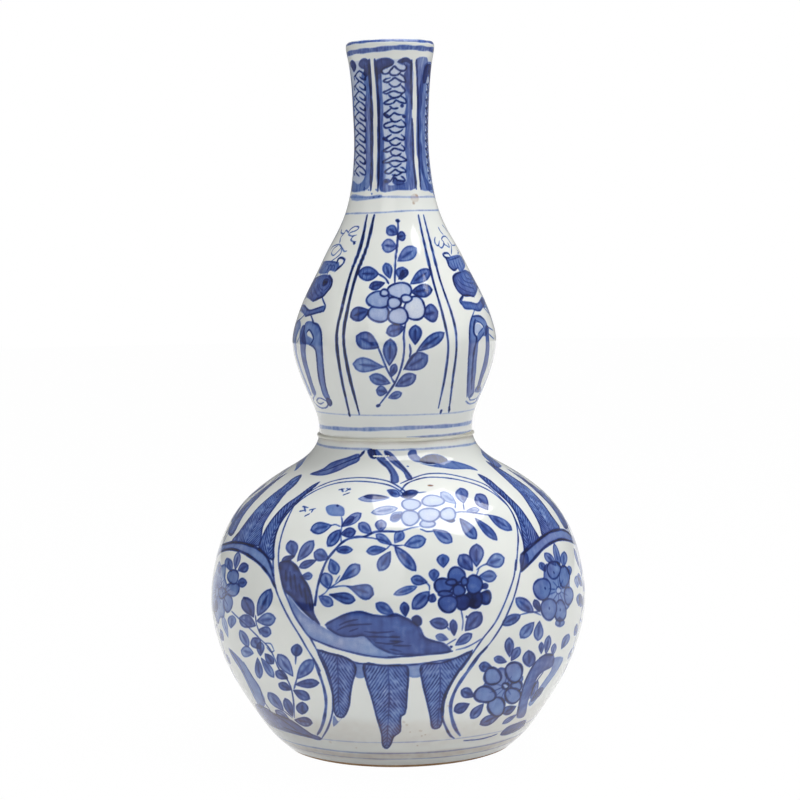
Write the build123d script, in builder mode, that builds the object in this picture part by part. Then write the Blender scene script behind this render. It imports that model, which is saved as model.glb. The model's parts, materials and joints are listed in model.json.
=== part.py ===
"""Double gourd vase in blue and white porcelain, built up the way a potter builds it.

The body is thrown in sections: a foot ring, a bowl and a dome for each of the two bulbs, and a
neck with its lip. Each seam is stepped and filled with a film of slip. A coat of glaze lies over
the outside, over the lip and down inside, and under the base, and leaves the edge of the foot bare.
The frame has +Z up and the front towards -Y, with the origin at the centre of the resting face.
"""
from build123d import *
import os

# Radii of the glazed outline at its stations, and how far each station is above the one before
foot_radius = 48.2
belly_radius = 80.5
waist_radius = 32.9
bulb_radius = 43.5
neck_radius = 15.8
mouth_radius = 18.7
foot_to_belly = 63.5
belly_to_waist = 73.0
waist_to_bulb = 37.5
bulb_to_neck = 83.0
neck_to_mouth = 43.0

# Where the outline passes between two stations, as shares of the way in height and in radius
foot_to_belly_shares = [(0.084, 0.18), (0.25, 0.427), (0.5, 0.731), (0.748, 0.923)]
belly_to_waist_shares = [(0.21, 0.038), (0.423, 0.149), (0.569, 0.303), (0.669, 0.479), (0.755, 0.681),
                         (0.828, 0.863), (0.91, 0.971)]
waist_to_bulb_shares = [(0.19, 0.113), (0.403, 0.425), (0.677, 0.79), (0.86, 0.953)]
bulb_to_neck_shares = [(0.1, 0.06), (0.221, 0.199), (0.342, 0.383), (0.465, 0.567), (0.586, 0.762),
                       (0.7, 0.888), (0.83, 0.961)]
neck_to_mouth_shares = [(0.3, 0.086), (0.65, 0.345), (0.88, 0.76)]

# Directions of the outline and of the inner face at their ends, as shares of radius and height
outer_end_shares = [(0.72, 0.69), (0, 1)]
inner_end_shares = [(1, 0), (0, 1)]

# Thicknesses of the wall, its coats and its joints
bulb_wall = 4.2
neck_wall = 3.2
glaze_coat = 0.3
slip_film = 0.3
base_thickness = 5.0

# Hair gap between the curved faces of wall and glaze
hair_gap = 0.1

# Foot ring: what is bare of glaze, the bevel beside the resting face, and that face's width
foot_height = 5.5
bare_height = 1.4
foot_bevel = 0.7
land_width = 3.6

# Two seams lie this far below the waist and the neck, and two at the widest line of each bulb.
# The inner half of the wall stands up in each by the lap.
waist_seam_drop = 2.8
neck_seam_drop = 25.5
lap_height = 3.0

# The slip squeezed out of the waist seam, as the radius of its bead
ridge_radius = 0.75

# Cutting shapes run this far past what they cut
overrun = 10.0

# Heights of the stations and seams, and the lip as a half round over the wall
belly_height = foot_to_belly
waist_height = belly_height + belly_to_waist
bulb_height = waist_height + waist_to_bulb
neck_height = bulb_height + bulb_to_neck
total_height = neck_height + neck_to_mouth
waist_seam_height = waist_height - waist_seam_drop
neck_seam_height = neck_height - neck_seam_drop
coat_depth = glaze_coat + hair_gap
lip_height = total_height - neck_wall / 2 - coat_depth
lip_middle_radius = mouth_radius - neck_wall / 2 - coat_depth
floor_bottom = foot_height + slip_film
floor_top = floor_bottom + base_thickness
lining_floor = floor_top + hair_gap
foot_outer_radius = foot_radius - coat_depth
foot_inner_radius = foot_outer_radius - 2 * foot_bevel - land_width


def outline_through_stations():
    """Points of the glazed outline from the foot up to where the lip begins."""
    stations = [
        (foot_radius, 0),
        (belly_radius, belly_height),
        (waist_radius, waist_height),
        (bulb_radius, bulb_height),
        (neck_radius, neck_height),
        (mouth_radius, lip_height),
    ]
    between = [
        foot_to_belly_shares,
        belly_to_waist_shares,
        waist_to_bulb_shares,
        bulb_to_neck_shares,
        neck_to_mouth_shares,
    ]
    points = [stations[0]]
    for (r0, z0), (r1, z1), shares in zip(stations, stations[1:], between):
        for height_share, radius_share in shares:
            points.append((r0 + radius_share * (r1 - r0), z0 + height_share * (z1 - z0)))
        points.append((r1, z1))
    return points


def wall_at(height):
    """Wall thickness at a height: the bulbs' up to the upper bulb, then thinning to the neck's."""
    way_up = (height - bulb_height) / (neck_seam_height - bulb_height)
    return bulb_wall + min(max(way_up, 0), 1) * (neck_wall - bulb_wall)


def inside(points, depth_at):
    """The same points moved in from the outline's face, each by what depth_at gives at its height."""
    moved = []
    neighbours = zip([points[0]] + points, points, points[1:] + [points[-1]])
    for (r0, z0), (r, z), (r1, z1) in neighbours:
        along = Vector(r1 - r0, z1 - z0).normalized()
        moved.append((r - along.Y * depth_at(z), z + along.X * depth_at(z)))
    return moved


def radius_on(points, height):
    """Radius at a height on a line of points."""
    for (r0, z0), (r1, z1) in zip(points, points[1:]):
        if z0 <= height <= z1:
            return r0 + (r1 - r0) * (height - z0) / (z1 - z0)
    return points[-1][0]


# The faces of the wall, from the outside in: glaze and its back, body and bore, lining and its face
glaze_points = outline_through_stations()
glaze_back_points = inside(glaze_points, lambda height: glaze_coat)
glaze_back_points[0] = (foot_outer_radius + hair_gap, 0)
glaze_back_points[-1] = (lip_middle_radius + neck_wall / 2 + hair_gap, lip_height)
body_points = inside(glaze_points, lambda height: coat_depth)
body_points[0] = (foot_outer_radius, 0)
body_points[-1] = (lip_middle_radius + neck_wall / 2, lip_height)
wall_points = [point for point in glaze_points if point[1] > floor_top]
bore_points = inside(wall_points, lambda height: coat_depth + wall_at(height))
bore_points[-1] = (lip_middle_radius - neck_wall / 2, lip_height)
lining_back_points = inside(wall_points, lambda height: coat_depth + wall_at(height) + hair_gap)
lining_back_points[-1] = (lip_middle_radius - neck_wall / 2 - hair_gap, lip_height)
lining_points = inside(wall_points, lambda height: 2 * coat_depth + wall_at(height))
lining_points[-1] = (lip_middle_radius - neck_wall / 2 - coat_depth, lip_height)


def face_line(*points, end_shares):
    """Smooth line through the points of one face of the wall, in the directions given at its ends."""
    return Spline(*points, tangents=end_shares, tangent_scalars=[1, 1])


# Half section of the fired body, foot and floor included
with BuildSketch(mode=Mode.PRIVATE) as body_section:
    with BuildLine():
        face_line(*body_points, end_shares=outer_end_shares)
        ThreePointArc(body_points[-1], (lip_middle_radius, lip_height + neck_wall / 2), bore_points[-1])
        face_line((foot_inner_radius, floor_top), *bore_points, end_shares=inner_end_shares)
        Polyline((foot_inner_radius, floor_top), (0, floor_top), (0, floor_bottom),
                 (foot_inner_radius, floor_bottom), (foot_inner_radius, 0), body_points[0])
    make_face()

# Half section of the glaze on the outside, below the lip
with BuildSketch(mode=Mode.PRIVATE) as outer_coat:
    with BuildLine():
        face_line(*glaze_points, end_shares=outer_end_shares)
        Line(glaze_points[-1], glaze_back_points[-1])
        face_line(*glaze_back_points, end_shares=outer_end_shares)
        Line(glaze_back_points[0], glaze_points[0])
    make_face()

# Half section of the glaze on the floor and up the inside, below the lip
with BuildSketch(mode=Mode.PRIVATE) as inner_coat:
    with BuildLine():
        face_line((foot_inner_radius, lining_floor), *lining_back_points, end_shares=inner_end_shares)
        Line(lining_back_points[-1], lining_points[-1])
        face_line((foot_inner_radius, lining_floor + glaze_coat), *lining_points,
                  end_shares=inner_end_shares)
        Polyline((foot_inner_radius, lining_floor + glaze_coat), (0, lining_floor + glaze_coat),
                 (0, lining_floor), (foot_inner_radius, lining_floor))
    make_face()

# Half section of the glaze over the lip
with BuildSketch(mode=Mode.PRIVATE) as lip_coat:
    with Locations((lip_middle_radius, lip_height)):
        Circle(neck_wall / 2 + coat_depth)
        Circle(neck_wall / 2 + hair_gap, mode=Mode.SUBTRACT)
        Rectangle(mouth_radius, neck_wall + glaze_coat, align=(Align.CENTER, Align.MAX),
                  mode=Mode.SUBTRACT)


def span(bottom, top):
    """All of the half section between two heights."""
    with BuildSketch(mode=Mode.PRIVATE) as band:
        with Locations((0, bottom)):
            Rectangle(belly_radius + overrun, top - bottom, align=(Align.MIN, Align.MIN))
    return band.sketch


def under_seam(height, film):
    """All of the half section below a stepped seam, raised and widened by a film of slip."""
    step_radius = radius_on(body_points, height) - wall_at(height) / 2 + film
    with BuildSketch(mode=Mode.PRIVATE) as below:
        add(span(-overrun, height + film))
        with Locations((0, height)):
            Rectangle(step_radius, lap_height + film, align=(Align.MIN, Align.MIN))
    return below.sketch


def section_between(lower_seam, upper_seam):
    """Half section of the body from the slip of one seam up to the next seam."""
    with BuildSketch(mode=Mode.PRIVATE) as part_section:
        add(body_section.sketch)
        add(under_seam(upper_seam, 0), mode=Mode.INTERSECT)
        add(under_seam(lower_seam, slip_film), mode=Mode.SUBTRACT)
    return part_section.sketch


def slip_in(seam):
    """Half section of the slip that fills a stepped seam."""
    with BuildSketch(mode=Mode.PRIVATE) as film:
        add(body_section.sketch)
        add(under_seam(seam, slip_film), mode=Mode.INTERSECT)
        add(under_seam(seam, 0), mode=Mode.SUBTRACT)
    return film.sketch


os.makedirs("parts", exist_ok=True)

# Foot ring, bare at its edge, and the flat film of slip that joins it to the base
with BuildPart() as foot_ring:
    with BuildSketch(Plane.XZ):
        add(body_section.sketch)
        add(span(0, foot_height), mode=Mode.INTERSECT)
    revolve(axis=Axis.Z)
    resting_edges = foot_ring.edges().group_by(Axis.Z)[0]
    chamfer(resting_edges, foot_bevel)
foot_ring.part.label = "foot_ring"
export_step(foot_ring.part, "parts/foot_ring.step")

with BuildPart() as foot_slip:
    with BuildSketch(Plane.XZ):
        add(body_section.sketch)
        add(span(foot_height, floor_bottom), mode=Mode.INTERSECT)
    revolve(axis=Axis.Z)
foot_slip.part.label = "foot_slip"
export_step(foot_slip.part, "parts/foot_slip.step")

# Lower bulb: a bowl with the base as its floor, then a dome drawn in to the waist
with BuildPart() as lower_bulb_bowl:
    with BuildSketch(Plane.XZ):
        add(body_section.sketch)
        add(under_seam(belly_height, 0), mode=Mode.INTERSECT)
        add(span(-overrun, floor_bottom), mode=Mode.SUBTRACT)
    revolve(axis=Axis.Z)
lower_bulb_bowl.part.label = "lower_bulb_bowl"
export_step(lower_bulb_bowl.part, "parts/lower_bulb_bowl.step")

with BuildPart() as belly_slip:
    with BuildSketch(Plane.XZ):
        add(slip_in(belly_height))
    revolve(axis=Axis.Z)
belly_slip.part.label = "belly_slip"
export_step(belly_slip.part, "parts/belly_slip.step")

with BuildPart() as lower_bulb_dome:
    with BuildSketch(Plane.XZ):
        add(section_between(belly_height, waist_seam_height))
    revolve(axis=Axis.Z)
lower_bulb_dome.part.label = "lower_bulb_dome"
export_step(lower_bulb_dome.part, "parts/lower_bulb_dome.step")

# The waist's slip stands out of the seam as a low ridge that shows between the glazes
with BuildSketch(mode=Mode.PRIVATE) as ridge:
    ridge_level = waist_seam_height + slip_film / 2
    with Locations((radius_on(body_points, ridge_level) - slip_film / 2, ridge_level)):
        Circle(ridge_radius)
    add(body_section.sketch, mode=Mode.SUBTRACT)

with BuildPart() as waist_slip:
    with BuildSketch(Plane.XZ):
        add(slip_in(waist_seam_height))
        add(ridge.sketch)
    revolve(axis=Axis.Z)
waist_slip.part.label = "waist_slip"
export_step(waist_slip.part, "parts/waist_slip.step")

# Upper bulb: its bowl stands on the waist, and its dome is drawn in to the neck
with BuildPart() as upper_bulb_bowl:
    with BuildSketch(Plane.XZ):
        add(section_between(waist_seam_height, bulb_height))
    revolve(axis=Axis.Z)
upper_bulb_bowl.part.label = "upper_bulb_bowl"
export_step(upper_bulb_bowl.part, "parts/upper_bulb_bowl.step")

with BuildPart() as bulb_slip:
    with BuildSketch(Plane.XZ):
        add(slip_in(bulb_height))
    revolve(axis=Axis.Z)
bulb_slip.part.label = "bulb_slip"
export_step(bulb_slip.part, "parts/bulb_slip.step")

with BuildPart() as upper_bulb_dome:
    with BuildSketch(Plane.XZ):
        add(section_between(bulb_height, neck_seam_height))
    revolve(axis=Axis.Z)
upper_bulb_dome.part.label = "upper_bulb_dome"
export_step(upper_bulb_dome.part, "parts/upper_bulb_dome.step")

# Neck, thrown as a tube that flares to a rounded lip
with BuildPart() as neck_slip:
    with BuildSketch(Plane.XZ):
        add(slip_in(neck_seam_height))
    revolve(axis=Axis.Z)
neck_slip.part.label = "neck_slip"
export_step(neck_slip.part, "parts/neck_slip.step")

with BuildPart() as neck_tube:
    with BuildSketch(Plane.XZ):
        add(body_section.sketch)
        add(under_seam(neck_seam_height, slip_film), mode=Mode.SUBTRACT)
    revolve(axis=Axis.Z)
neck_tube.part.label = "neck_tube"
export_step(neck_tube.part, "parts/neck_tube.step")

# Glaze on each bulb, parted by the ridge at the waist
with BuildPart() as lower_bulb_glaze:
    with BuildSketch(Plane.XZ):
        add(outer_coat.sketch)
        add(span(bare_height, ridge_level), mode=Mode.INTERSECT)
        add(ridge.sketch, mode=Mode.SUBTRACT)
    revolve(axis=Axis.Z)
lower_bulb_glaze.part.label = "lower_bulb_glaze"
export_step(lower_bulb_glaze.part, "parts/lower_bulb_glaze.step")

with BuildPart() as upper_bulb_glaze:
    with BuildSketch(Plane.XZ):
        add(outer_coat.sketch)
        add(span(ridge_level, neck_seam_height), mode=Mode.INTERSECT)
        add(ridge.sketch, mode=Mode.SUBTRACT)
    revolve(axis=Axis.Z)
upper_bulb_glaze.part.label = "upper_bulb_glaze"
export_step(upper_bulb_glaze.part, "parts/upper_bulb_glaze.step")

# Glaze on the neck, over the lip and down to where the inner glaze begins
with BuildPart() as neck_glaze:
    with BuildSketch(Plane.XZ):
        add(outer_coat.sketch)
        add(inner_coat.sketch)
        add(span(neck_seam_height, lip_height), mode=Mode.INTERSECT)
        add(lip_coat.sketch)
    revolve(axis=Axis.Z)
neck_glaze.part.label = "neck_glaze"
export_step(neck_glaze.part, "parts/neck_glaze.step")

with BuildPart() as inner_glaze:
    with BuildSketch(Plane.XZ):
        add(inner_coat.sketch)
        add(span(0, neck_seam_height), mode=Mode.INTERSECT)
    revolve(axis=Axis.Z)
inner_glaze.part.label = "inner_glaze"
export_step(inner_glaze.part, "parts/inner_glaze.step")

# Glaze under the base and down the inner face of the foot
with BuildPart() as base_glaze:
    with BuildSketch(Plane.XZ):
        with Locations((0, bare_height)):
            Rectangle(foot_inner_radius - hair_gap, floor_bottom - hair_gap - bare_height,
                      align=(Align.MIN, Align.MIN))
            Rectangle(foot_inner_radius - coat_depth, floor_bottom - coat_depth - bare_height,
                      align=(Align.MIN, Align.MIN), mode=Mode.SUBTRACT)
    revolve(axis=Axis.Z)
base_glaze.part.label = "base_glaze"
export_step(base_glaze.part, "parts/base_glaze.step")
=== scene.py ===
"""Blue and white double gourd vase: its painted glaze, bare foot, floor, lights and camera.

The painting is laid on an unrolled sheet of the outside, whose rows climb the outline and whose
columns go round the vase. A brush leaves tone on the sheet, from 0 for white to 1 for the darkest
cobalt. The glaze pieces are fine meshes on the outline of the solids, and carry the sheet's tone at
each vertex. Strokes are given where the photograph shows them, in its pixels, and each is carried
through the camera onto the vase. The sides and the back repeat them, or have strokes of their own in
mm round an angle and a height.
"""
import json
import math

import bpy
import numpy as np
from mathutils import Matrix, Vector


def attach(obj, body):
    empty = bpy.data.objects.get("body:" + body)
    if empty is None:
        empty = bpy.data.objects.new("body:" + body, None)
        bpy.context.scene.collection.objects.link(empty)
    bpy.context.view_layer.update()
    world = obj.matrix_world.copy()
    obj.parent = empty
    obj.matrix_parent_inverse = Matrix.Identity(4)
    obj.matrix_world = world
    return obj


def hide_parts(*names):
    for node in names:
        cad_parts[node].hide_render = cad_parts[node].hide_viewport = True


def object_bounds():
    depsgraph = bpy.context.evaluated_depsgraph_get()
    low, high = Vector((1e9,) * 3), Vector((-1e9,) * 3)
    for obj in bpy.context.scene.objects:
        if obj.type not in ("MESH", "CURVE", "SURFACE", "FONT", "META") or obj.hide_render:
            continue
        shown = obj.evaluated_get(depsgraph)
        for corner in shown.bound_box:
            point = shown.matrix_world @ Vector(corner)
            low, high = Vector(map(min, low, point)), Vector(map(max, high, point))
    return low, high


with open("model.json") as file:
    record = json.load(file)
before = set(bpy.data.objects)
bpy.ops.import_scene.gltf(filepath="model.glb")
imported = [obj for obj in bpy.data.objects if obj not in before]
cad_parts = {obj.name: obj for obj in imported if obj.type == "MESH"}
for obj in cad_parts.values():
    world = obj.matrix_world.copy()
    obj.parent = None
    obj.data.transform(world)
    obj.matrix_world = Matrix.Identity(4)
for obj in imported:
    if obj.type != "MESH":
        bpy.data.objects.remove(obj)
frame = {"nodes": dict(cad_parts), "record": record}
CAD_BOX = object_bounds()

MM = 0.001
TURN = 2 * math.pi
chance = np.random.default_rng(7)

# Camera: the photograph's size, its focal length in pixels, its axis, and where the camera stands
PHOTO_PX = 800
FOCAL_PX = 2217.3
CENTRE_PX = (395.24, 400.0)
CAMERA_PLACE_MM = np.array([0.0, -946.0, 225.0])
CAMERA_PITCH = math.radians(4.65)
CAMERA_ROLL = math.atan(0.01505)


def camera_axes():
    """Right, up and forward of the camera."""
    right = np.array([1.0, 0.0, 0.0])
    forward = np.array([0.0, math.cos(CAMERA_PITCH), -math.sin(CAMERA_PITCH)])
    up = np.cross(right, forward)
    level, lean = math.cos(CAMERA_ROLL), math.sin(CAMERA_ROLL)
    return level * right - lean * up, lean * right + level * up, forward


CAMERA_RIGHT, CAMERA_UP, CAMERA_FORWARD = camera_axes()


def make_camera():
    """The camera at the photograph's viewing angle."""
    data = bpy.data.cameras.new("camera")
    data.sensor_width = 36.0
    data.lens = data.sensor_width * FOCAL_PX / PHOTO_PX
    data.shift_x = (PHOTO_PX / 2 - CENTRE_PX[0]) / PHOTO_PX
    data.clip_start = 0.05
    camera = bpy.data.objects.new("camera", data)
    bpy.context.scene.collection.objects.link(camera)
    axes = np.eye(4)
    axes[:3, 0] = CAMERA_RIGHT
    axes[:3, 1] = CAMERA_UP
    axes[:3, 2] = -CAMERA_FORWARD
    axes[:3, 3] = CAMERA_PLACE_MM * MM
    camera.matrix_world = Matrix(axes.tolist())
    bpy.context.scene.camera = camera


make_camera()
bpy.context.scene.view_settings.view_transform = "Standard"

# Outline of the outside, read from the solids: radius and height in mm, from the foot to the lip
GLAZE_NODES = ("lower_bulb_glaze", "upper_bulb_glaze", "neck_glaze")
COAT = 0.28
WALL_LEAST = 2.0
NECK_LEAST = 15.45
LIP_FROM = 288
LIP_MIDDLE = 16.8
SAME_LEVEL = 0.004
FACES_OUT = 0.1
OUTLINE_STEP = 0.8
OUTLINE_PIECES = 16


def node_faces(name):
    """Vertices, face centres and outward share of each face normal of a solid, in mm."""
    mesh = frame["nodes"][name].data
    place = np.empty(3 * len(mesh.vertices))
    mesh.vertices.foreach_get("co", place)
    place = place.reshape(-1, 3) / MM
    flat = np.column_stack([np.hypot(place[:, 0], place[:, 1]), place[:, 2]])
    sides = []
    for face in mesh.polygons:
        away = face.center.xy.length
        tilt = 0.0 if away == 0 else face.normal.xy.dot(face.center.xy) / away
        sides.append((tilt, list(face.vertices)))
    return flat, sides


def pick(flat, sides, wanted):
    """The vertices of the faces whose outward share is wanted, as sorted single points."""
    chosen = sorted({corner for tilt, corners in sides if wanted(tilt) for corner in corners})
    return np.unique(np.round(flat[chosen], 3), axis=0)


def by_height(points):
    """One point a level, the one farthest out, climbing."""
    points = points[np.lexsort((-points[:, 0], points[:, 1]))]
    return points[np.concatenate([[True], np.diff(points[:, 1]) > SAME_LEVEL])]


def read_outlines():
    """The three climbing outlines, and the neck's way down inside."""
    climbs = []
    for name in GLAZE_NODES:
        flat, sides = node_faces(name)
        climbs.append(by_height(pick(flat, sides, lambda tilt: tilt > FACES_OUT)))
    flat, sides = node_faces("neck_glaze")
    neck = climbs[2]
    neck = neck[neck[:, 0] > np.where(neck[:, 1] > LIP_FROM, LIP_MIDDLE, NECK_LEAST)]
    inner = pick(flat, sides, lambda tilt: tilt < -FACES_OUT)
    outside = np.interp(inner[:, 1], neck[:, 1], neck[:, 0])
    inner = inner[inner[:, 0] < outside - WALL_LEAST]
    return climbs[0], climbs[1], neck, by_height(inner)


def thinned(points, least):
    """The points with those nearer than the least distance to the one before left out."""
    kept = [points[0]]
    for point in points[1:-1]:
        if np.hypot(*(point - kept[-1])) >= least:
            kept.append(point)
    if np.hypot(*(points[-1] - kept[-1])) < least / 2 and len(kept) > 1:
        kept.pop()
    kept.append(points[-1])
    return np.array(kept)


def curve_through(points, pieces, closed=False):
    """A smooth curve through points, each span cut into the given number of pieces."""
    points = np.asarray(points, dtype=float)
    if len(points) < 3:
        share = np.linspace(0, 1, pieces + 1)[:, None]
        return points[0] + (points[-1] - points[0]) * share
    ring = np.vstack([points[-1], points, points[:2]]) if closed else np.vstack(
        [2 * points[0] - points[1], points, 2 * points[-1] - points[-2]])
    share = np.arange(pieces)[None, :, None] / pieces
    before, start, end, after = (ring[k:len(ring) - 3 + k, None, :] for k in range(4))
    gap_a, gap_b, gap_c = (np.maximum(np.linalg.norm(q - p, axis=2, keepdims=True), 1e-9) ** 0.5
                           for p, q in ((before, start), (start, end), (end, after)))
    leave = gap_b * ((start - before) / gap_a - (end - before) / (gap_a + gap_b)) + (end - start)
    reach = gap_b * ((after - end) / gap_c - (after - start) / (gap_b + gap_c)) + (end - start)
    curve = (start * (2 * share ** 3 - 3 * share ** 2 + 1) + leave * (share ** 3 - 2 * share ** 2 + share)
             + end * (3 * share ** 2 - 2 * share ** 3) + reach * (share ** 3 - share ** 2))
    curve = curve.reshape(-1, 2)
    return curve if closed else np.vstack([curve, points[-1]])


LOWER, UPPER, NECK, NECK_INSIDE = read_outlines()
LIP_TOP = np.array([[(NECK[-1, 0] + NECK_INSIDE[-1, 0]) / 2, CAD_BOX[1][2] / MM]])


def measured(points):
    """Radius, height and length along a smooth outline through points of the solids."""
    curve = curve_through(thinned(points, OUTLINE_STEP), OUTLINE_PIECES)
    length = np.concatenate([[0], np.cumsum(np.hypot(*np.diff(curve, axis=0).T))])
    return length, curve[:, 0], curve[:, 1]


PATH_S, PATH_R, PATH_Z = measured(np.vstack([LOWER, UPPER[:-1], NECK, LIP_TOP, NECK_INSIDE[::-1]]))
TOP = int(np.argmax(PATH_Z))
S_TOP = PATH_S[TOP]


def climb(height):
    """Length along the outline at a height of the outside."""
    return np.interp(height, PATH_Z[:TOP + 1], PATH_S[:TOP + 1])


def radius_at(length):
    """Radius in mm at a length along the outline."""
    return np.interp(length, PATH_S, PATH_R)


def height_at(length):
    """Height in mm at a length along the outline."""
    return np.interp(length, PATH_S, PATH_Z)


def round_axis(radius, height, turn):
    """Places at radii, heights and turns about the vase's axis, where a turn of 0 faces the camera."""
    return np.stack([radius * np.sin(turn), -radius * np.cos(turn), height * np.ones_like(turn)], axis=-1)


def in_photo(turn, length):
    """Where a place on the outside shows in the photograph, in its pixels."""
    place = round_axis(radius_at(length), height_at(length), turn) - CAMERA_PLACE_MM
    depth = place @ CAMERA_FORWARD
    return np.stack([CENTRE_PX[0] + FOCAL_PX * (place @ CAMERA_RIGHT) / depth,
                     CENTRE_PX[1] - FOCAL_PX * (place @ CAMERA_UP) / depth], axis=-1)


# Starting guesses for carrying pixels onto the vase, and the steps that close in from them
GUESS_TURN, GUESS_S = (grid.ravel() for grid in np.meshgrid(
    np.radians(np.arange(-80, 81, 4)), np.arange(0, S_TOP, 2.0)))
GUESS_PX = in_photo(GUESS_TURN, GUESS_S)
SIDE_LIMIT = math.radians(84)
CLOSING_STEPS = 8
SMALL_TURN = 0.004
SMALL_LENGTH = 0.2
MOST_TURN = 0.2
MOST_LENGTH = 6
LEAST_AREA = 1e-3


def photo_slope(turn, length, small_turn, small_length):
    """How the place in the photograph moves with a small step of turn or of length."""
    after = in_photo(turn + small_turn, length + small_length)
    before = in_photo(turn - small_turn, length - small_length)
    return (after - before) / (2 * (small_turn + small_length))


def on_vase(points):
    """Turn and length on the outside of the places that show at the given pixels."""
    nearest = np.argmin(((points[:, None, :] - GUESS_PX[None]) ** 2).sum(axis=2), axis=1)
    turn, length = GUESS_TURN[nearest].copy(), GUESS_S[nearest].copy()
    for _ in range(CLOSING_STEPS):
        miss = points - in_photo(turn, length)
        by_turn = photo_slope(turn, length, SMALL_TURN, 0)
        by_length = photo_slope(turn, length, 0, SMALL_LENGTH)
        area = by_turn[:, 0] * by_length[:, 1] - by_turn[:, 1] * by_length[:, 0]
        area = np.where(np.abs(area) < LEAST_AREA, LEAST_AREA, area)
        turn_step = (miss[:, 0] * by_length[:, 1] - miss[:, 1] * by_length[:, 0]) / area
        length_step = (by_turn[:, 0] * miss[:, 1] - by_turn[:, 1] * miss[:, 0]) / area
        turn = np.clip(turn + np.clip(turn_step, -MOST_TURN, MOST_TURN), -SIDE_LIMIT, SIDE_LIMIT)
        length = np.clip(length + np.clip(length_step, -MOST_LENGTH, MOST_LENGTH), 0, S_TOP)
    return np.stack([turn, length], axis=-1)


# The sheet: tone of the cobalt, and of the brown stains and the painted shade towards the foot, by row and
# column
SHEET_STEP = 0.2
SHEET_COLUMNS = 2520
SHEET_END = S_TOP + 5
LEAST_RADIUS = 5
CLOUD_RADIUS = 50
SHEET_ROWS = int(SHEET_END / SHEET_STEP)
ROW_S = (np.arange(SHEET_ROWS) + 0.5) * SHEET_STEP
ROW_R = radius_at(ROW_S)
COBALT = np.zeros((SHEET_ROWS, SHEET_COLUMNS), dtype=np.float32)
STAIN_AND_SHADE = np.zeros((SHEET_ROWS, SHEET_COLUMNS), dtype=np.float32)


def cloud(rise, across):
    """A smooth field about 0, whose blots are this many mm high and across."""
    raw = np.fft.rfft2(chance.normal(size=(SHEET_ROWS, SHEET_COLUMNS)))
    up = np.fft.fftfreq(SHEET_ROWS, SHEET_STEP)[:, None] * rise
    column_mm = TURN * CLOUD_RADIUS / SHEET_COLUMNS
    around = np.fft.rfftfreq(SHEET_COLUMNS, column_mm)[None, :] * across
    field = np.fft.irfft2(raw * np.exp(-3 * (up ** 2 + around ** 2)), s=(SHEET_ROWS, SHEET_COLUMNS))
    return (field / field.std()).astype(np.float32)


MOTTLE = cloud(1.6, 1.6)
STREAK = cloud(4.0, 0.7)
DRIFT = cloud(18, 18)


def window(path, reach):
    """The sheet within a reach in mm of a path: its rows, columns, turns, lengths and radii."""
    low, high = path[:, 1].min() - reach, path[:, 1].max() + reach
    rows = np.arange(max(0, int(low / SHEET_STEP)), min(SHEET_ROWS, int(high / SHEET_STEP) + 2))
    if len(rows) == 0:
        return None
    aside = reach / max(ROW_R[rows].min(), LEAST_RADIUS)
    first = int((path[:, 0].min() - aside + math.pi) / TURN * SHEET_COLUMNS) - 1
    last = int((path[:, 0].max() + aside + math.pi) / TURN * SHEET_COLUMNS) + 2
    columns = np.arange(first, min(last, first + SHEET_COLUMNS))
    turns = (columns + 0.5) / SHEET_COLUMNS * TURN - math.pi
    return rows, columns, turns[None, :], ROW_S[rows][:, None], ROW_R[rows][:, None]


def soft_step(share):
    """A share from 0 to 1, eased at both ends."""
    share = np.clip(share, 0, 1)
    return share * share * (3 - 2 * share)


def spot_of(view):
    """Where a window lies on the sheet, whose last column meets its first."""
    return np.ix_(view[0], view[1] % SHEET_COLUMNS)


def lay(layer, view, amount):
    """Tone laid over what is there, as a wash darkens another."""
    spot = spot_of(view)
    layer[spot] = 1 - (1 - layer[spot]) * (1 - np.clip(amount, 0, 1))


def lift(path, soft=0.3):
    """The cobalt taken off inside a closed path."""
    view = window(path, 1.0)
    inside, _ = shape_cover(path, view, soft)
    COBALT[spot_of(view)] *= 1 - inside


def line_cover(path, half, view, soft):
    """How far a line of varying half width covers the window."""
    rows, columns, turns, lengths, radii = view
    cover = np.zeros((len(rows), len(columns)), dtype=np.float32)
    reach = half.max() + soft
    for k in range(len(path) - 1):
        a, b = path[k], path[k + 1]
        low, high = min(a[1], b[1]) - reach, max(a[1], b[1]) + reach
        r0, r1 = np.searchsorted(lengths[:, 0], (low, high))
        if r0 == r1:
            continue
        aside = reach / max(radii[r0:r1].min(), LEAST_RADIUS)
        c0, c1 = np.searchsorted(turns[0], (min(a[0], b[0]) - aside, max(a[0], b[0]) + aside))
        if c0 == c1:
            continue
        radius = radii[r0:r1]
        x, y = (turns[:, c0:c1] - a[0]) * radius, lengths[r0:r1] - a[1]
        dx, dy = (b[0] - a[0]) * radius, b[1] - a[1]
        share = np.clip((x * dx + y * dy) / (dx * dx + dy * dy + 1e-9), 0, 1)
        away = np.sqrt((x - share * dx) ** 2 + (y - share * dy) ** 2)
        wide = half[k] + (half[k + 1] - half[k]) * share
        patch = cover[r0:r1, c0:c1]
        np.maximum(patch, soft_step((wide - away) / soft + 0.5), out=patch)
    return cover


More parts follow.
